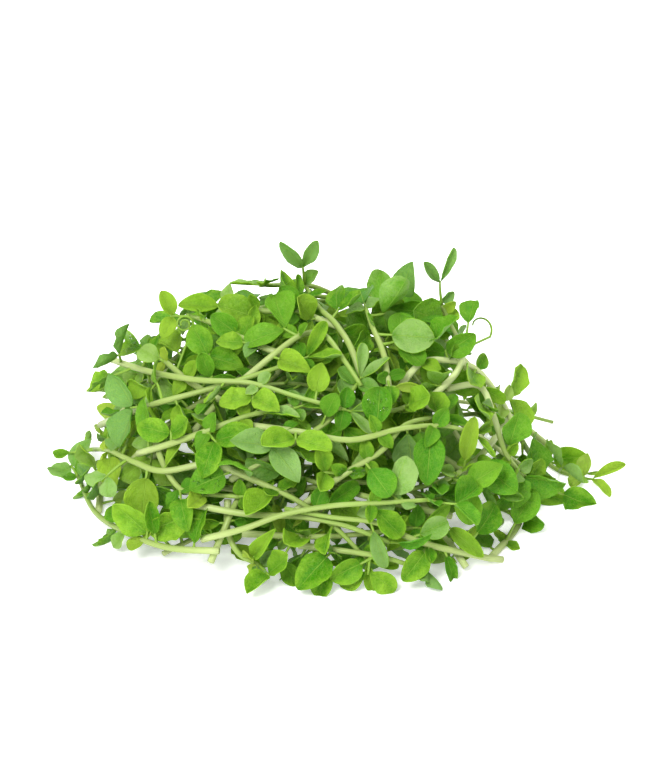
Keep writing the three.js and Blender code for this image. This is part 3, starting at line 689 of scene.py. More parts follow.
# ---- What the frame leaves to the details ----
THIN_BASE, THIN_TIP = 0.95, 0.65
THIN_GAP = 0.1
FILL_GAP = 0.08
STIPULE = (True, 0.72, (0.38, 0.5), (0.33, 0.6))
STIPULE_REACH = 7
STIPULE_STALK = 0.9
STIPULE_LENGTHS = (6, 9.5)
STIPULE_LEAN = 0.6  # how far it leans from the stem's own way to its leaf's
STIPULE_STEP = 0.03
FILL_MANNER = (8, 0.8, True)
SINGLY_MANNER = (16, 0.6, False)
STIPULE_MANNER = (6, 0.6, False)
MOST_FILL_ON_SHOOT = 18
FILL_STALK_SPAN = (1.5, 20)
SHORTEST_FILL_STALK = 2
FILL_ROOTS_TRIED = 3
PAIRS_BELOW, SINGLES_BELOW = 0.45, 0.8  # a draw below the first gives a pair, below the second one leaflet
SHALLOWEST, DEEPEST = 5, 32  # how far the leaves of the inside are sunk
FRONT_ACROSS, FRONT_UP = (-90, 78), (-28, 70)
FRONT_FILL_LENGTHS, ROUND_FILL_LENGTHS = (11, 19), (10, 18)
FRONT_FILL_TOSS, ROUND_FILL_TOSS = 1.3, 1.0
FILL_MARGINS = (3, 10)  # how far inside the outline a fill leaf is asked for, drawn each time
FILL_HALF_DEPTH = 0.93 * HALF_DEPTH
FILL_SINK = (0.7, 1.5)
ABOVE_HEAP = 3  # a front leaf is asked for at most this far over the heap's form

# Where the front shows right through, so no fill leaf is asked for there: across, up, radius.
OPEN_PLACES = [
    (46, 32, 9), (48, 11, 9), (65, 18, 10), (-33, -8, 4), (-60, -10, 6), (-36, -17, 6), (-10, -22, 3),
    (58, 50, 8), (-56, 61, 14), (-22, 78, 9), (-1, 80, 7), (55, 62, 9), (74, 22, 7), (84, 20, 7),
    (62, -10, 7), (-86, 38, 7), (34, -1, 4), (-70, 54, 4), (-46, 74, 6),
]

# Where a leaf has begun to turn yellow: across, up, radius.
YELLOWED = [(-77, 20, 5), (6, 24, 6), (15, 73, 5), (92, 6, 7)]
UPRIGHT_FROM = 75  # leaves that grow higher than this, seen from the front, show their underside

# Smaller leaves that show singly on the front: across, up, leaflet length, form.
SMALL_FRONT_LEAVES = [
    (84, 3, 15, PAIR), (97, 8, 9, FOLDED), (88, 12, 12, SINGLE), (78, 0, 13, PAIR),
    (70, -5, 13, SINGLE), (62, 3, 12, FOLDED), (74, 17, 12, SINGLE), (58, 38, 12, FOLDED),
    (-92, 8, 10, FOLDED), (-98, 16, 9, FOLDED), (-72, -9, 15, SINGLE), (-60, -4, 15, FOLDED),
    (-48, -8, 15, SINGLE), (-30, -14, 14, PAIR), (-80, 50, 12, SINGLE), (-30, 70, 12, PAIR),
    (24, 77, 15, SINGLE), (44, 66, 12, SINGLE), (4, 70, 13, PAIR), (12, -28, 12, PAIR),
    (42, -24, 12, FOLDED), (52, -14, 14, PAIR), (-4, -29, 12, SINGLE), (8, 24, 14, PAIR),
    (-58, 28, 13, PAIR), (-20, 18, 13, SINGLE), (24, 18, 14, PAIR), (-70, 36, 12, PAIR),
    (28, 58, 14, PAIR),
]


class FullHeap(Heap):
    """The frame's plan, with stipules, thinner shoots and smaller leaves laid into its gaps."""

    def grow_stipules(self):
        """A pair of small leaves clasps the stem where a leaf's stalk leaves it."""
        for shoot in self.shoots:
            for leaf in list(shoot.leaves):
                t = shoot.nearest(leaf.root)
                run = unit(shoot.at(min(t + STIPULE_STEP, 1)) - shoot.at(max(t - STIPULE_STEP, 0)))
                along = unit(run + leaf.along * STIPULE_LEAN)
                length = self.draws.between(*STIPULE_LENGTHS)
                plan = self.leaf_plan(leaf.root, along, leaf.face, STIPULE_STALK, STIPULE, length)
                self.grow_leaf(shoot, plan, STIPULE_MANNER, FILL_GAP, STIPULE_REACH, STIPULE_STALK)

    def lay_thin_shoots(self, count):
        """Thinner shoots, scattered through the heap, wherever one of their routes has room."""
        self.room.sort_for(THIN_BASE)
        laid = []
        for _ in range(count):
            routes = (self.scattered_route() for _ in range(ROUTE_DRAWS))
            laid.append(self.lay_shoot(routes, THIN_BASE, THIN_TIP, THIN_GAP))
        return [shoot for shoot in laid if shoot]

    def is_free(self, place):
        """Whether a place is inside the outline and clear of the open places, as seen from the front."""
        across, up = place[0], float(place @ VIEW_UP)
        covered = all(math.hypot(across - x, up - y) > radius for x, y, radius in OPEN_PLACES)
        return covered and is_within(place, self.draws.between(*FILL_MARGINS))

    def fill_form(self):
        draw = self.draws.next()
        return PAIR if draw < PAIRS_BELOW else SINGLE if draw < SINGLES_BELOW else FOLDED

    def fill_leaf(self, place, length, form, facing, manner):
        """A smaller leaf near a place, on a stalk from any point of a stem nearby."""
        open_shoots = [shoot for shoot in self.shoots if shoot.fills < MOST_FILL_ON_SHOOT]
        roots = [(shoot, t, root) for shoot in open_shoots for t, root in shoot.fill_roots]
        shoot = self.leaf_near(
            place, length, form, facing, manner, roots, FILL_STALK_SPAN, FILL_ROOTS_TRIED,
            gap=FILL_GAP, own_reach=OWN_REACH, least_stalk=SHORTEST_FILL_STALK,
        )
        if shoot:
            shoot.fills += 1

    def fill(self, front, around):
        """More leaves: those the front shows singly, then its inside in layers, then all round."""
        d = self.draws
        between_joints = [(i + 0.5) / STEM_STEPS for i in range(STEM_STEPS)]
        for shoot in self.shoots:
            shoot.fills = 0
            shoot.fill_roots = [(t, shoot.at(t)) for t in between_joints]
            free_joints = [i for i in range(1, STEM_STEPS) if i not in shoot.taken]
            shoot.fill_roots += [(i, shoot.joints[i]) for i in free_joints]
        for across, up, length, form in SMALL_FRONT_LEAVES:
            place = seen(across, up, 0) + TO_VIEWER
            self.fill_leaf(place, length, form, self.facing(place, 2, FRONT_TOSS), SINGLY_MANNER)
        for _ in range(front):
            sink = d.between(SHALLOWEST, DEEPEST)
            place = seen(d.between(*FRONT_ACROSS), d.between(*FRONT_UP), sink)
            if place[2] > heap_height(place[0], place[1]) + ABOVE_HEAP or not self.is_free(place):
                continue
            facing = self.facing(place, 1, FRONT_FILL_TOSS)
            self.fill_leaf(place, d.between(*FRONT_FILL_LENGTHS), self.fill_form(), facing, FILL_MANNER)
        for _ in range(around):
            place = self.round_place(FILL_HALF_DEPTH, *FILL_SINK)
            if not self.is_free(place):
                continue
            facing = self.facing(place, 0, ROUND_FILL_TOSS)
            self.fill_leaf(place, d.between(*ROUND_FILL_LENGTHS), self.fill_form(), facing, FILL_MANNER)


# ---- The looks of each leaf ----
TURNED_OVER = 0.2  # the share of the leaves that show their pale underside
LEAF_SEED, FRAMED_SEED, THIN_SEED, DROPS_SEED = 5, 5, 6, 8
UPRIGHT_WARMTH, YELLOWED_WARMTH = (0.05, 0.3), (0.7, 0.9)
WARMTH_MIDDLE, WARMTH_SPREAD = 0.3, 0.23


class Blade:
    """One leaflet's surface, with its own outline, crease, twist, curl and waved edge."""

    SLIM = 0.55  # a leaflet slimmer than this share of its length is a folded one
    BELLIES, BELLY_DRIFT = (0.36, 0.64), 0.04  # where along it a leaflet may be widest
    FOOT_FULLNESS, SHORT_TIP_FULLNESS, LONG_TIP_FULLNESS = (0.55, 0.85), (0.42, 0.62), (0.55, 0.95)
    SLIM_WIDTH, WIDTHS = 0.95, (0.84, 1.0)
    SLIM_CREASES, CREASES = (0.5, 0.95), (0.0, 0.8, 0.15)
    TWIST, TWIST_FROM, LEAN = 0.9, 0.35, 0.12
    CURLS = (-0.1, 0.24)  # below 0 its tip bends up, above 0 down
    WAVES, RIPPLES, SLANT = (0.02, 0.1), (1.0, 2.6), 1.5
    LATEST_PHASE = 6.3
    ON_STALK = 0.5  # how far from its stalk's fork a leaflet starts
    REST = 0.25  # no point of it is lower

    def __init__(self, leaf, looks, foot, run, width, up):
        self.leaf, self.foot, self.run, self.width, self.up = leaf, foot, run, width, up
        self.hand = math.copysign(1, float(cross(run, width) @ up))
        belly = leaf.belly + looks.uniform(-self.BELLY_DRIFT, self.BELLY_DRIFT)
        self.belly = min(self.BELLIES[1], max(self.BELLIES[0], belly))
        self.foot_fullness = looks.uniform(*self.FOOT_FULLNESS)
        tip = self.SHORT_TIP_FULLNESS if self.belly > 0.5 else self.LONG_TIP_FULLNESS
        self.tip_fullness = looks.uniform(*tip)
        slim = leaf.width < self.SLIM * leaf.length
        self.full_width = leaf.width * (self.SLIM_WIDTH if slim else looks.uniform(*self.WIDTHS))
        self.crease = looks.uniform(*self.SLIM_CREASES) if slim else looks.triangular(*self.CREASES)
        self.twist = looks.uniform(-self.TWIST, self.TWIST)
        self.lean = looks.uniform(-self.LEAN, self.LEAN)
        self.curl = looks.uniform(*self.CURLS)
        self.wave = looks.uniform(*self.WAVES)
        self.ripple = looks.uniform(*self.RIPPLES)
        self.phase = looks.uniform(0, self.LATEST_PHASE)

    def at(self, s, c):
        """Its places at s from foot to tip and c from one edge, -1, to the other, 1."""
        leaf, t = self.leaf, s ** (math.log(0.5) / math.log(self.belly))
        fullness = np.where(s < self.belly, self.foot_fullness, self.tip_fullness)
        half = np.maximum(0, 4 * t * (1 - t)) ** fullness
        side = 0.5 * self.full_width * half * c * (1 + self.lean * c)
        rise = leaf.cup * leaf.width * c * c * half - (leaf.bend + self.curl * s) * leaf.length * s * s
        rise += self.crease * 0.5 * leaf.width * half * (np.abs(c) - 0.5)
        rise += self.twist * side * (s - self.TWIST_FROM)
        ripple = np.sin(2 * math.pi * self.ripple * s + self.phase + self.SLANT * c)
        rise += self.wave * leaf.width * c * c * half * ripple
        places = self.foot + np.outer(self.ON_STALK + s * (leaf.length - self.ON_STALK), self.run)
        places += np.outer(side, self.width) + np.outer(rise, self.up)
        places[:, 2] = np.maximum(places[:, 2], self.REST)
        return places


def dress_leaf(leaf, looks):
    """Its leaflets, whether it is turned over, and how warm its green is, from bluish, 0, to yellow, 1."""
    leaf.blades = [Blade(leaf, looks, *leaflet[:4]) for leaflet in leaflets_of(leaf)]
    across, up = leaf.root[0], float(leaf.root @ VIEW_UP)
    leaf.turned_over = looks.random() < TURNED_OVER or up > UPRIGHT_FROM
    if up > UPRIGHT_FROM:
        leaf.warmth = looks.uniform(*UPRIGHT_WARMTH)
    elif any(math.hypot(across - x, up - y) < radius for x, y, radius in YELLOWED):
        leaf.warmth = looks.uniform(*YELLOWED_WARMTH)
    else:
        leaf.warmth = min(1, max(0, looks.gauss(WARMTH_MIDDLE, WARMTH_SPREAD)))


PLAN = {}


def planned(sizes):
    """The heap's plan, laid once."""
    if not PLAN:
        heap = FullHeap()
        heap.lay_frame()
        PLAN["framed"] = list(heap.shoots)
        heap.grow_stipules()
        PLAN["thin"] = heap.lay_thin_shoots(sizes.thin_shoots)
        heap.fill(sizes.front_fill, sizes.round_fill)
        looks = random.Random(LEAF_SEED)
        for shoot in heap.shoots:
            for leaf in shoot.leaves:
                dress_leaf(leaf, looks)
    return PLAN


# ---- Meshes ----
BLADE_STEPS, BLADE_ROWS = 11, 4
STEM_RINGS, STEM_SIDES = 26, 8
STEM_WOBBLES, WOBBLE_SPEED, WOBBLE_PHASES = (0.02, 0.05), 9, (0, 6)  # of a stem's thickness
GREENING = 0.55  # how far a stem goes from pale to green by its tip
PALING = 0.6  # how much greenness is taken off in the middle of the pale arch
PALE_ARCH = (52, 44, 30)  # where the stems are palest: across, up, radius
STALK_RINGS, STALK_SIDES = 6, 6
STALK_RADIUS, STALK_TAPER, STALK_REST = 0.66, 0.26, 0.5
STALK_END = 0.8  # how far a single leaf's stalk goes on under its leaflet
STALK_DROOP, MOST_DROOP = 0.04, 0.35
CURL_RINGS, CURL_SIDES = 30, 5
CURL_RADIUS, CURL_TAPER = 0.5, 0.18
STALK_YOUTH, CURL_YOUTH = 0.7, 0.85  # how green they are: 0 is a stem's cut end
WELD = 1e-7


def placed(p):
    """A planned place in the frame's own metres."""
    return (p + CENTRE_SHIFT) * MM


class Piece:
    """A mesh in the making, with a UV map and named numbers on its points."""

    def __init__(self, *numbers):
        self.bm = bmesh.new()
        self.bm.loops.layers.uv.new("UVMap")
        self.layers = {name: self.bm.verts.layers.float.new(name) for name in numbers}

    def grid(self, columns, rows, place, **numbers):
        """A grid whose points are moved to place(u, v), both from 0 to 1 over it."""
        made = bmesh.ops.create_grid(self.bm, x_segments=columns, y_segments=rows, size=0.5, calc_uvs=True)
        verts = made["verts"]
        flat = np.array([(v.co.x, v.co.y) for v in verts]) + 0.5
        for v, where in zip(verts, place(flat[:, 0], flat[:, 1])):
            v.co = where
            for name, value in numbers.items():
                v[self.layers[name]] = value
        return verts

    def tube(self, points, radii, sides, **numbers):
        """A round tube through these points, closed at both ends."""
        rings = [points[0], *points, points[-1]]
        sizes = [0, *radii, 0]
        count = len(rings)
        normal = np.array((0.0, 0.0, 1.0))
        frames = []
        for i in range(count):
            tangent = unit(rings[min(i + 2, count - 1)] - rings[max(i - 2, 0)])
            normal = flattened(normal, tangent)
            frames.append((normal, cross(tangent, normal)))

        def place(u, v):
            for along, around in zip(np.rint(u * (count - 1)).astype(int), v * 2 * math.pi):
                n, b = frames[along]
                yield placed(rings[along] + (n * math.cos(around) + b * math.sin(around)) * sizes[along])

        return self.grid(count - 1, sides, place, **numbers)

    def finish(self, name, *materials):
        """Writes the piece as a smooth object at the origin."""
        bmesh.ops.remove_doubles(self.bm, verts=self.bm.verts, dist=WELD)
        for face in self.bm.faces:
            face.smooth = True
        for edge in self.bm.edges:
            edge.smooth = not edge.is_boundary
        mesh = bpy.data.meshes.new(name)
        self.bm.to_mesh(mesh)
        self.bm.free()
        piece = bpy.data.objects.new(name, mesh)
        bpy.context.scene.collection.objects.link(piece)
        for material in materials:
            mesh.materials.append(material)
        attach(piece, "root")
        return piece


def add_blades(piece, leaf, looks):
    """The leaflets of one leaf."""
    tone = looks.uniform(0, 1)
    for blade in leaf.blades:
        hand = -blade.hand if leaf.turned_over else blade.hand

        def place(u, v):
            return placed(blade.at(0.5 - 0.5 * np.cos(math.pi * u), hand * (2 * v - 1)))

        piece.grid(BLADE_STEPS, BLADE_ROWS, place, tone=tone, warmth=leaf.warmth)


def add_stalk(piece, leaf):
    """The thin stalk from the stem to the leaflets."""
    end = leaf.root + leaf.along * (leaf.stalk + (FORK if leaf.paired else STALK_END))
    droop = -leaf.face * min(MOST_DROOP, STALK_DROOP * leaf.stalk)
    points, radii = [], []
    for i in range(STALK_RINGS):
        t = i / (STALK_RINGS - 1)
        p = leaf.root + (end - leaf.root) * t + droop * (4 * t * (1 - t))
        p[2] = max(p[2], STALK_REST)
        points.append(p)
        radii.append(STALK_RADIUS - STALK_TAPER * t)
    piece.tube(points, radii, STALK_SIDES, youth=STALK_YOUTH)


def add_stem(piece, shoot, looks):
    """The stem, a little uneven in thickness, pale at its cut end and in the pale arch."""
    points, radii = [], []
    wobble, phase = looks.uniform(*STEM_WOBBLES), looks.uniform(*WOBBLE_PHASES)
    for i in range(STEM_RINGS):
        t = i / (STEM_RINGS - 1)
        radius = shoot.base + (shoot.tip - shoot.base) * t
        radius *= 1 + wobble * math.sin(WOBBLE_SPEED * t + phase)
        p = shoot.at(t)
        p[2] = max(p[2], radius)
        points.append(p)
        radii.append(radius)
    verts = piece.tube(points, radii, STEM_SIDES)
    youth = piece.layers["youth"]
    rings = STEM_RINGS + 2
    across, up, reach = PALE_ARCH
    for k, v in enumerate(verts):
        p = points[min(max(k % rings - 1, 0), STEM_RINGS - 1)]
        off = math.hypot(p[0] - across, float(p @ VIEW_UP) - up) / reach
        v[youth] = GREENING * (k % rings) / rings - PALING * max(0, 1 - off)


def add_tendril(piece, root, middle, radius, turns, hand):
    """The curled tendril, thinner to its end."""
    points = tendril_points(root, middle, radius, turns, hand, CURL_RINGS)
    radii = [CURL_RADIUS - CURL_TAPER * i / CURL_RINGS for i in range(len(points))]
    piece.tube(points, radii, CURL_SIDES, youth=CURL_YOUTH)


# ---- Materials ----
LEAF_PATCHES, LEAF_GRAIN, LEAF_RIM = 1.8, 1.1, 1.2  # how strongly each sways a leaf's green
SIDE_VEIN, NET_VEIN, VEIN_SHARE = 0.55, 0.38, 0.6
COOLEST, COOL_FROM, COOL_SHARE = 0.02, 0.34, 0.7
YELLOW_FROM = 0.4
LEAF_PUFFS, LEAF_GRAIN_PUFFS = 4.0, 0.5
LEAF_BUMP, STEM_BUMP = (0.00045, 0.7), (0.0002, 0.5)  # distance in metres, strength
LEAF_LIGHT, STEM_LIGHT = 0.5, 0.35  # the share of the light that goes through
STEM_STREAKS, STEM_PATCHES, STEM_GRAIN = 0.7, 0.6, 0.3
STEM_IOR, WATER_IOR, WATER_ROUGHNESS = 1.38, 1.33, 0.02
SMOOTHER, LEAF_ROUGH_PATCHES = 0.12, 0.25
STEM_ROUGHNESS, STEM_ROUGH_STREAKS = 0.26, 0.25
STREAK_SIZES, GREEN_RANGE, CUT_RANGE = (2.5, 26.0, 1.0), (0.0, 0.9), (0.16, -0.06)
MIDRIB_WIDTH, MIDRIB_TAPER = 0.085, -0.05
VEIN_SWEEP, VEIN_WANDER, WANDER_SCALE = -0.38, 0.14, 5.0
VEIN_WIDTH, RIM_FADE = 0.2, (0.55, 1.0)
NET_SIZES, NET_WIDTH = (22.0, 17.0, 1.0), 0.16
FINE = 3.0  # the detail of the mottle's and the streaks' noise
WHITE = (1, 1, 1)


def feed(tree, socket, value):
    """A link, a colour or a plain value into a socket."""
    if isinstance(value, bpy.types.NodeSocket):
        tree.links.new(value, socket)
    elif hasattr(value, "__len__"):
        socket.default_value = (*value[:3], 1)
    else:
        socket.default_value = value


def math_node(tree, operation, *values, clamp=False):
    node = tree.nodes.new("ShaderNodeMath")
    node.operation, node.use_clamp = operation, clamp
    for socket, value in zip(node.inputs, values):
        feed(tree, socket, value)
    return node.outputs[0]


def times(tree, value, factor, clamp=False):
    return math_node(tree, "MULTIPLY", value, factor, clamp=clamp)


def plus_times(tree, base, value, factor):
    """The base and so much of a value."""
    return math_node(tree, "MULTIPLY_ADD", value, factor, base)


def swayed(tree, base, mask, strength):
    """The base, raised where a mask is over a half and lowered where it is under."""
    return plus_times(tree, base, math_node(tree, "SUBTRACT", mask, 0.5), strength)


def mix_colours(tree, share, first, second):
    node = tree.nodes.new("ShaderNodeMix")
    node.data_type = "RGBA"
    for name, value in (("Factor_Float", share), ("A_Color", first), ("B_Color", second)):
        feed(tree, next(s for s in node.inputs if s.identifier == name), value)
    return next(s for s in node.outputs if s.identifier == "Result_Color")


def ramp(tree, value, low, high):
    """0 at low, 1 at high, smooth between."""
    node = tree.nodes.new("ShaderNodeMapRange")
    node.interpolation_type = "SMOOTHSTEP"
    for name, given in (("Value", value), ("From Min", low), ("From Max", high)):
        feed(tree, node.inputs[name], given)
    return node.outputs["Result"]


def fading(tree, value, low, high):
    """1 at low, 0 at high, smooth between."""
    return math_node(tree, "SUBTRACT", 1.0, ramp(tree, value, low, high), clamp=True)


def number_on_points(tree, name):
    node = tree.nodes.new("ShaderNodeAttribute")
    node.attribute_name = name
    return node.outputs["Fac"]


def surface_map(tree):
    """The piece's own UV map, along it and across it."""
    node = tree.nodes.new("ShaderNodeUVMap")
    node.uv_map = "UVMap"
    return node.outputs["UV"]


def noise(tree, coordinates, scale, detail=2.0):
    node = tree.nodes.new("ShaderNodeTexNoise")
    for name, value in (("Vector", coordinates), ("Scale", scale), ("Detail", detail)):
        feed(tree, node.inputs[name], value)
    return node.outputs["Fac"]


def stretched(tree, coordinates, scale):
    node = tree.nodes.new("ShaderNodeMapping")
    tree.links.new(coordinates, node.inputs["Vector"])
    node.inputs["Scale"].default_value = scale
    return node.outputs["Vector"]


def bump(tree, height, distance, strength):
    node = tree.nodes.new("ShaderNodeBump")
    for name, value in (("Height", height), ("Distance", distance), ("Strength", strength)):
        feed(tree, node.inputs[name], value)
    return node.outputs["Normal"]


def new_group(name, inputs, outputs):
    """An empty shader group with its named numbers in, each with its default, and out."""
    group = bpy.data.node_groups.new(name, "ShaderNodeTree")
    for label, default in inputs.items():
        socket = group.interface.new_socket(label, in_out="INPUT", socket_type="NodeSocketFloat")
        socket.default_value = default
    for label in outputs:
        group.interface.new_socket(label, in_out="OUTPUT", socket_type="NodeSocketFloat")
    return group, group.nodes.new("NodeGroupInput").outputs, group.nodes.new("NodeGroupOutput").inputs


def use_group(tree, group, values):
    """A group placed in a material with the material's own values."""
    node = tree.nodes.new("ShaderNodeGroup")
    node.node_tree = group
    for name, value in values.items():
        node.inputs[name].default_value = value
    return node.outputs


# What the groups start with, and what these materials give them
LEAF_VEINS = {"Side veins": 7.0}
FINE_MOTTLE = {"Patch scale": 220.0, "Grain scale": 1500.0}


def leaf_veins_group():
    """A midrib, side veins that sweep towards the tip, and the fine net between them."""
    group, given, out = new_group("leaf veins", LEAF_VEINS, ("Midrib", "Veins", "Net", "Outwards"))
    uv = surface_map(group)
    parts = group.nodes.new("ShaderNodeSeparateXYZ")
    group.links.new(uv, parts.inputs["Vector"])
    along, across = parts.outputs["X"], parts.outputs["Y"]
    off_middle = math_node(group, "ABSOLUTE", math_node(group, "SUBTRACT", across, 0.5))
    away = times(group, off_middle, 2.0)
    midrib = fading(group, away, 0.0, plus_times(group, MIDRIB_WIDTH, along, MIDRIB_TAPER))
    sweep = plus_times(group, along, away, VEIN_SWEEP)
    wander = plus_times(group, sweep, noise(group, uv, WANDER_SCALE), VEIN_WANDER)
    turns = times(group, wander, given["Side veins"])
    gap = times(group, math_node(group, "PINGPONG", turns, 0.5), 2.0)
    side = times(group, fading(group, gap, 0.0, VEIN_WIDTH), fading(group, away, *RIM_FADE))
    cells = group.nodes.new("ShaderNodeTexVoronoi")
    cells.feature = "DISTANCE_TO_EDGE"
    group.links.new(stretched(group, uv, NET_SIZES), cells.inputs["Vector"])
    cells.inputs["Scale"].default_value = 1.0
    group.links.new(midrib, out["Midrib"])
    group.links.new(side, out["Veins"])
    group.links.new(fading(group, cells.outputs["Distance"], 0.0, NET_WIDTH), out["Net"])
    group.links.new(plus_times(group, times(group, away, 0.5), along, 0.5), out["Outwards"])
    return group


def mottle_group():
    """Soft patches and a fine grain, from 0 to 1, fixed to the piece."""
    group, given, out = new_group("soft mottle", FINE_MOTTLE, ("Patches", "Grain"))
    place = group.nodes.new("ShaderNodeTexCoord").outputs["Object"]
    for label, scale in (("Patches", "Patch scale"), ("Grain", "Grain scale")):
        group.links.new(noise(group, place, given[scale], FINE), out[label])
    return group


def start_material(name):
    material = bpy.data.materials.new(name)
    material.use_nodes = True
    tree = material.node_tree
    return material, tree, tree.nodes["Principled BSDF"].inputs


def let_light_through(tree, colour, share):
    """A share of the light goes through the piece and comes out in this colour."""
    shader, output = tree.nodes["Principled BSDF"], tree.nodes["Material Output"]
    through = tree.nodes.new("ShaderNodeBsdfTranslucent")
    tree.links.new(colour, through.inputs["Color"])
    both = tree.nodes.new("ShaderNodeMixShader")
    both.inputs["Fac"].default_value = share
    tree.links.new(shader.outputs["BSDF"], both.inputs[1])
    tree.links.new(through.outputs["BSDF"], both.inputs[2])
    tree.links.new(both.outputs["Shader"], output.inputs["Surface"])
    return through.inputs


def leaf_material(name, colours, roughness, lift, ior, ripening):
    """One side of a leaf: its own greens, veins, mottling and the light that comes through it."""
    deep, fresh, cool, yellow, vein = colours
    material, tree, skin = start_material(name)
    veins = use_group(tree, GROUPS["veins"], LEAF_VEINS)
    mottle = use_group(tree, GROUPS["mottle"], FINE_MOTTLE)
    tone, warmth = number_on_points(tree, "tone"), number_on_points(tree, "warmth")
    patchy = swayed(tree, tone, mottle["Patches"], LEAF_PATCHES)
    patchy = swayed(tree, patchy, mottle["Grain"], LEAF_GRAIN)
    patchy = swayed(tree, patchy, veins["Outwards"], LEAF_RIM)
    blade = mix_colours(tree, times(tree, patchy, 1.0, clamp=True), deep, fresh)
    blade = mix_colours(tree, times(tree, ramp(tree, warmth, COOL_FROM, COOLEST), COOL_SHARE), blade, cool)
    blade = mix_colours(tree, ramp(tree, warmth, YELLOW_FROM, 1.0), blade, yellow)
    lines = math_node(tree, "MAXIMUM", veins["Midrib"], times(tree, veins["Veins"], SIDE_VEIN))
    lines = math_node(tree, "MAXIMUM", lines, times(tree, veins["Net"], NET_VEIN))
    colour = mix_colours(tree, times(tree, lines, VEIN_SHARE), blade, vein)
    puffs = plus_times(tree, times(tree, mottle["Grain"], LEAF_GRAIN_PUFFS), mottle["Patches"], LEAF_PUFFS)
    normal = bump(tree, plus_times(tree, puffs, lines, lift), *LEAF_BUMP)
    feed(tree, skin["Base Color"], colour)
    rough = plus_times(tree, roughness - SMOOTHER, mottle["Patches"], LEAF_ROUGH_PATCHES)
    feed(tree, skin["Roughness"], rough)
    feed(tree, skin["Normal"], normal)
    feed(tree, skin["IOR"], ior)
    through = let_light_through(tree, mix_colours(tree, ripening, colour, yellow), LEAF_LIGHT)
    feed(tree, through["Normal"], normal)
    return material


def stem_material(cut, pale, green):
    """A stem's skin: pale at the cut end and greener to the tip, with fine streaks along it."""
    material, tree, skin = start_material("stem_skin")
    youth = number_on_points(tree, "youth")
    mottle = use_group(tree, GROUPS["mottle"], FINE_MOTTLE)
    streaks = noise(tree, stretched(tree, surface_map(tree), STREAK_SIZES), 1.0, FINE)
    share = swayed(tree, youth, streaks, STEM_STREAKS)
    share = swayed(tree, share, mottle["Patches"], STEM_PATCHES)
    colour = mix_colours(tree, ramp(tree, share, *GREEN_RANGE), pale, green)
    colour = mix_colours(tree, ramp(tree, youth, *CUT_RANGE), colour, cut)
    ridges = plus_times(tree, streaks, mottle["Grain"], STEM_GRAIN)
    feed(tree, skin["Base Color"], colour)
    feed(tree, skin["Roughness"], plus_times(tree, STEM_ROUGHNESS, streaks, STEM_ROUGH_STREAKS))
    feed(tree, skin["Normal"], bump(tree, ridges, *STEM_BUMP))
    feed(tree, skin["IOR"], STEM_IOR)
    let_light_through(tree, colour, STEM_LIGHT)
    return material


def water_material():
    """Clear water."""
    material, tree, skin = start_material("water_drop")
    feed(tree, skin["Base Color"], WHITE)
    feed(tree, skin["Transmission Weight"], 1.0)
    feed(tree, skin["Roughness"], WATER_ROUGHNESS)
    feed(tree, skin["IOR"], WATER_IOR)
    return material


GROUPS = {}
MATERIALS = {}


def finishes(colours):
    """The materials that the pieces share, made once."""
    if not MATERIALS:
        GROUPS["veins"], GROUPS["mottle"] = leaf_veins_group(), mottle_group()
        shared = (colours.leaf_yellow, colours.vein)
        upper = (colours.leaf_deep, colours.leaf_fresh, colours.leaf_cool, *shared)
        under = (colours.under_deep, colours.under_pale, colours.under_cool, *shared)
        MATERIALS["upper"] = leaf_material(
            "leaf_upper", upper, roughness=0.36, lift=-1.0, ior=1.26, ripening=0.45
        )
        MATERIALS["under"] = leaf_material(
            "leaf_under", under, roughness=0.5, lift=1.0, ior=1.32, ripening=0.2
        )
        MATERIALS["stem"] = stem_material(colours.cut_end, colours.stem_pale, colours.stem_green)
        MATERIALS["water"] = water_material()
    return MATERIALS


# ---- The user's sizes and colours ----
def a_length(name, description, default):
    return bpy.props.FloatProperty(name=name, description=description, default=default, unit="LENGTH")


def a_count(name, description, default):
    return bpy.props.IntProperty(name=name, description=description, default=default, min=0)


def a_colour(name, description, default):
    return bpy.props.FloatVectorProperty(
        name=name, description=description, default=default, subtype="COLOR", min=0, max=1
    )


class PeaShootSizes(bpy.types.PropertyGroup):
    """Sizes, and how much is laid"""

    blade_thickness: a_length("Blade thickness", "How thick a leaflet is", 0.00024)
    thin_shoots: a_count("Thin shoots", "Thinner shoots that are pushed in between the others", 24)
    front_fill: a_count("Front leaves", "Places drawn for smaller leaves on the front", 1100)
    round_fill: a_count("Leaves all round", "Places drawn for smaller leaves all round", 400)
    drop_radius: a_length("Drop radius", "The largest droplet's radius", 0.0008)


class PeaShootColours(bpy.types.PropertyGroup):
    """Colours of the leaves, the stems and the floor"""

    leaf_deep: a_colour("Deep green", "A leaf's darkest green", (0.052, 0.260, 0.0))
    leaf_fresh: a_colour("Fresh green", "A leaf's lightest green", (0.315, 0.565, 0.035))
    leaf_cool: a_colour("Cool green", "An older leaf's bluer green", (0.064, 0.310, 0.012))
    under_cool: a_colour("Underside grey", "An underside's greyest green", (0.230, 0.440, 0.130))
    leaf_yellow: a_colour("Yellow green", "A young leaf's yellow green", (0.450, 0.610, 0.065))
    under_deep: a_colour("Underside green", "An underside's darkest green", (0.140, 0.400, 0.020))
    under_pale: a_colour("Underside pale", "An underside's silvery green", (0.360, 0.560, 0.170))
    vein: a_colour("Vein", "The midrib and veins", (0.440, 0.680, 0.100))
    stem_pale: a_colour("Stem pale", "A stem near its cut end", (0.345, 0.445, 0.130))
    stem_green: a_colour("Stem green", "A stem near its tip, and the stalks", (0.230, 0.410, 0.035))
    cut_end: a_colour("Cut end", "The cut and the palest stretches of a stem", (0.580, 0.670, 0.300))
    floor: a_colour("Floor", "The plain floor", (0.900, 0.900, 0.890))


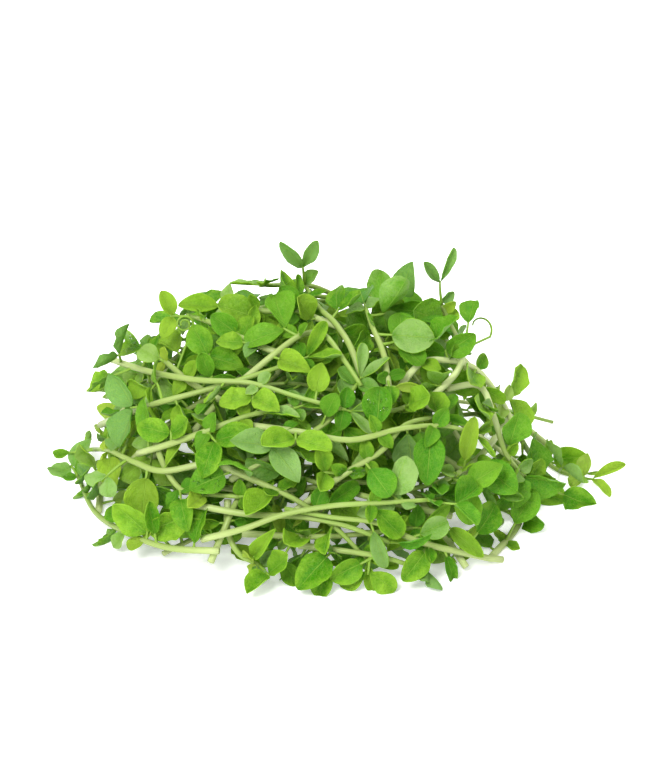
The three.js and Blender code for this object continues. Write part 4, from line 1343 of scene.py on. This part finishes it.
# ---- Operators ----
def write_shoot(name, shoots, looks, settings, materials):
    """The stems and leaves of these shoots as two pieces."""
    stems = Piece("youth")
    blades = Piece("tone", "warmth")
    for shoot in shoots:
        add_stem(stems, shoot, looks)
        for leaf in shoot.leaves:
            add_stalk(stems, leaf)
            add_blades(blades, leaf, looks)
        for tendril in shoot.tendrils:
            add_tendril(stems, *tendril)
    stem_piece = stems.finish(f"{name}_stem", materials["stem"])
    leaf_piece = blades.finish(f"{name}_leaves", materials["upper"], materials["under"])
    thickness = leaf_piece.modifiers.new("Blade thickness", "SOLIDIFY")
    thickness.thickness, thickness.offset = settings.blade_thickness, 0
    thickness.material_offset = 1
    return stem_piece, leaf_piece


class PEASHOOTS_OT_framed_shoots(bpy.types.Operator):
    """The shoots that the frame has, each in place of its own node"""

    bl_idname = "peashoots.framed_shoots"
    bl_label = "Shoots of the frame"

    def execute(self, context):
        plan = planned(context.scene.pea_sizes)
        materials = finishes(context.scene.pea_colours)
        looks = random.Random(FRAMED_SEED)
        for k, shoot in enumerate(plan["framed"]):
            node = f"shoot_{k + 1:02d}"
            for piece in write_shoot(node, [shoot], looks, context.scene.pea_sizes, materials):
                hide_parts(node)
        return {"FINISHED"}


class PEASHOOTS_OT_thin_shoots(bpy.types.Operator):
    """Thinner shoots between the others"""

    bl_idname = "peashoots.thin_shoots"
    bl_label = "Thin shoots"

    def execute(self, context):
        plan = planned(context.scene.pea_sizes)
        materials = finishes(context.scene.pea_colours)
        looks = random.Random(THIN_SEED)
        write_shoot("thin_shoots", plan["thin"], looks, context.scene.pea_sizes, materials)
        return {"FINISHED"}


class PEASHOOTS_OT_droplets(bpy.types.Operator):
    """Droplets of water on a few of the leaves"""

    bl_idname = "peashoots.droplets"
    bl_label = "Droplets"

    WET_PLACES = [(-73, 56), (-43, 8), (-39, 19), (6, 22), (16, 34)]
    DROPS_EACH = 14
    ALONG, ACROSS = (0.2, 0.85), (-0.75, 0.75)  # where on a leaflet they lie
    SMALLEST, SMALLNESS = 0.35, 1.5
    FLATTENING, SINKING = 0.45, 0.3  # shares of a droplet's radius
    STEP_ALONG, STEP_ACROSS = 0.02, 0.04

    def wet_spot(self, blade, looks):
        """A place on a leaflet and the way out of its upper side."""
        s, c = looks.uniform(*self.ALONG), looks.uniform(*self.ACROSS)
        stations = np.array((s, s + self.STEP_ALONG, s)), np.array((c, c, c + self.STEP_ACROSS))
        near = placed(blade.at(*stations))
        normal = unit(cross(near[1] - near[0], near[2] - near[0]))
        return Vector(near[0]), Vector(normal if float(normal @ blade.up) > 0 else -normal)

    def execute(self, context):
        plan = planned(context.scene.pea_sizes)
        sizes = context.scene.pea_sizes
        looks = random.Random(DROPS_SEED)
        leaves = [leaf for shoot in plan["framed"] for leaf in shoot.leaves]
        drops = Piece()
        for across, up in self.WET_PLACES:
            spot = seen(across, up, 0)

            def distance(leaf):
                return length_of(leaf.root + leaf.along * (leaf.stalk + 0.5 * leaf.length) - spot)

            leaf = min(leaves, key=distance)
            for _ in range(self.DROPS_EACH):
                middle, normal = self.wet_spot(looks.choice(leaf.blades), looks)
                middle += normal * sizes.blade_thickness / 2
                radius = sizes.drop_radius * looks.uniform(self.SMALLEST, 1) ** self.SMALLNESS
                ball = bmesh.ops.create_icosphere(drops.bm, subdivisions=2, radius=radius)
                for v in ball["verts"]:
                    down = v.co.dot(normal) * self.FLATTENING - radius * self.SINKING
                    v.co = middle + v.co - normal * down
        piece = drops.finish("droplets", finishes(context.scene.pea_colours)["water"])
        return {"FINISHED"}


class PEASHOOTS_OT_stage(bpy.types.Operator):
    """The plain floor, the soft light and the camera"""

    bl_idname = "peashoots.stage"
    bl_label = "Floor, light and camera"

    # Lengths and places are in metres, but for the camera's sensor in millimetres
    FLOOR_HALF = 3.0
    CAMERA_AWAY = 2.4
    VIEW_HEIGHT = 0.280
    AIM = (0.0004, 0.0, 0.0423)
    SENSOR = 36.0
    LAMPS_AIM = Vector((0, 0, 0.03))
    LAMPS = (  # name, place, size, power in watts
        ("key", (-0.4, -0.9, 1.0), 0.5, 24.0),
        ("back", (0.25, 0.6, 1.2), 0.4, 11.0),
    )
    FLOOR_GRAIN, FLOOR_SHADE = 40.0, 0.985
    FLOOR_ROUGHNESS, FLOOR_GLOW = 0.8, 0.35
    SKY_STRENGTH = 1.0

    def lay_floor(self, scene):
        material, tree, skin = start_material("floor_paint")
        grain = noise(tree, tree.nodes.new("ShaderNodeTexCoord").outputs["Object"], self.FLOOR_GRAIN)
        paint = list(scene.pea_colours.floor)
        shaded = [self.FLOOR_SHADE * channel for channel in paint]
        feed(tree, skin["Base Color"], mix_colours(tree, grain, shaded, paint))
        feed(tree, skin["Roughness"], self.FLOOR_ROUGHNESS)
        feed(tree, skin["Emission Color"], WHITE)
        feed(tree, skin["Emission Strength"], self.FLOOR_GLOW)
        bm = bmesh.new()
        bmesh.ops.create_grid(bm, x_segments=1, y_segments=1, size=self.FLOOR_HALF)
        mesh = bpy.data.meshes.new("floor")
        bm.to_mesh(mesh)
        bm.free()
        mesh.materials.append(material)
        floor = bpy.data.objects.new("floor", mesh)
        scene.collection.objects.link(floor)

    def hang_lamps(self, scene):
        scene.world = bpy.data.worlds.new("studio")
        scene.world.use_nodes = True
        sky = scene.world.node_tree.nodes["Background"].inputs
        sky["Color"].default_value = (*WHITE, 1)
        sky["Strength"].default_value = self.SKY_STRENGTH
        for name, place, size, power in self.LAMPS:
            light = bpy.data.lights.new(name, "AREA")
            light.size, light.energy = size, power
            lamp = bpy.data.objects.new(name, light)
            lamp.location = place
            lamp.rotation_euler = (self.LAMPS_AIM - lamp.location).to_track_quat("-Z", "Y").to_euler()
            scene.collection.objects.link(lamp)

    def set_camera(self, scene):
        camera = bpy.data.cameras.new("camera")
        camera.sensor_width = self.SENSOR
        camera.lens = self.SENSOR / self.VIEW_HEIGHT * self.CAMERA_AWAY
        eye = bpy.data.objects.new("camera", camera)
        eye.location = Vector(self.AIM) + Vector(TO_VIEWER) * self.CAMERA_AWAY
        eye.rotation_euler = (math.pi / 2 - VIEW_TILT, 0, 0)
        scene.collection.objects.link(eye)
        scene.camera = eye
        scene.view_settings.view_transform = "Standard"

    def execute(self, context):
        self.lay_floor(context.scene)
        self.hang_lamps(context.scene)
        self.set_camera(context.scene)
        return {"FINISHED"}


class PEASHOOTS_PT_panel(bpy.types.Panel):
    bl_idname = "PEASHOOTS_PT_panel"
    bl_label = "Pea Shoots"
    bl_space_type = "VIEW_3D"
    bl_region_type = "UI"
    bl_category = "Pea Shoots"

    def draw(self, context):
        for settings in (context.scene.pea_sizes, context.scene.pea_colours):
            for name in settings.__annotations__:
                self.layout.prop(settings, name)
        for operator in OPERATORS:
            self.layout.operator(operator.bl_idname)


OPERATORS = (
    PEASHOOTS_OT_stage,
    PEASHOOTS_OT_framed_shoots,
    PEASHOOTS_OT_thin_shoots,
    PEASHOOTS_OT_droplets,
)
CLASSES = (PeaShootSizes, PeaShootColours, *OPERATORS, PEASHOOTS_PT_panel)


def register():
    for each in CLASSES:
        bpy.utils.register_class(each)
    bpy.types.Scene.pea_sizes = bpy.props.PointerProperty(type=PeaShootSizes)
    bpy.types.Scene.pea_colours = bpy.props.PointerProperty(type=PeaShootColours)


def unregister():
    del bpy.types.Scene.pea_colours
    del bpy.types.Scene.pea_sizes
    for each in reversed(CLASSES):
        bpy.utils.unregister_class(each)


def main():
    register()
    bpy.ops.peashoots.stage()
    bpy.ops.peashoots.framed_shoots()
    bpy.ops.peashoots.thin_shoots()
    bpy.ops.peashoots.droplets()


if __name__ == "__main__":
    main()
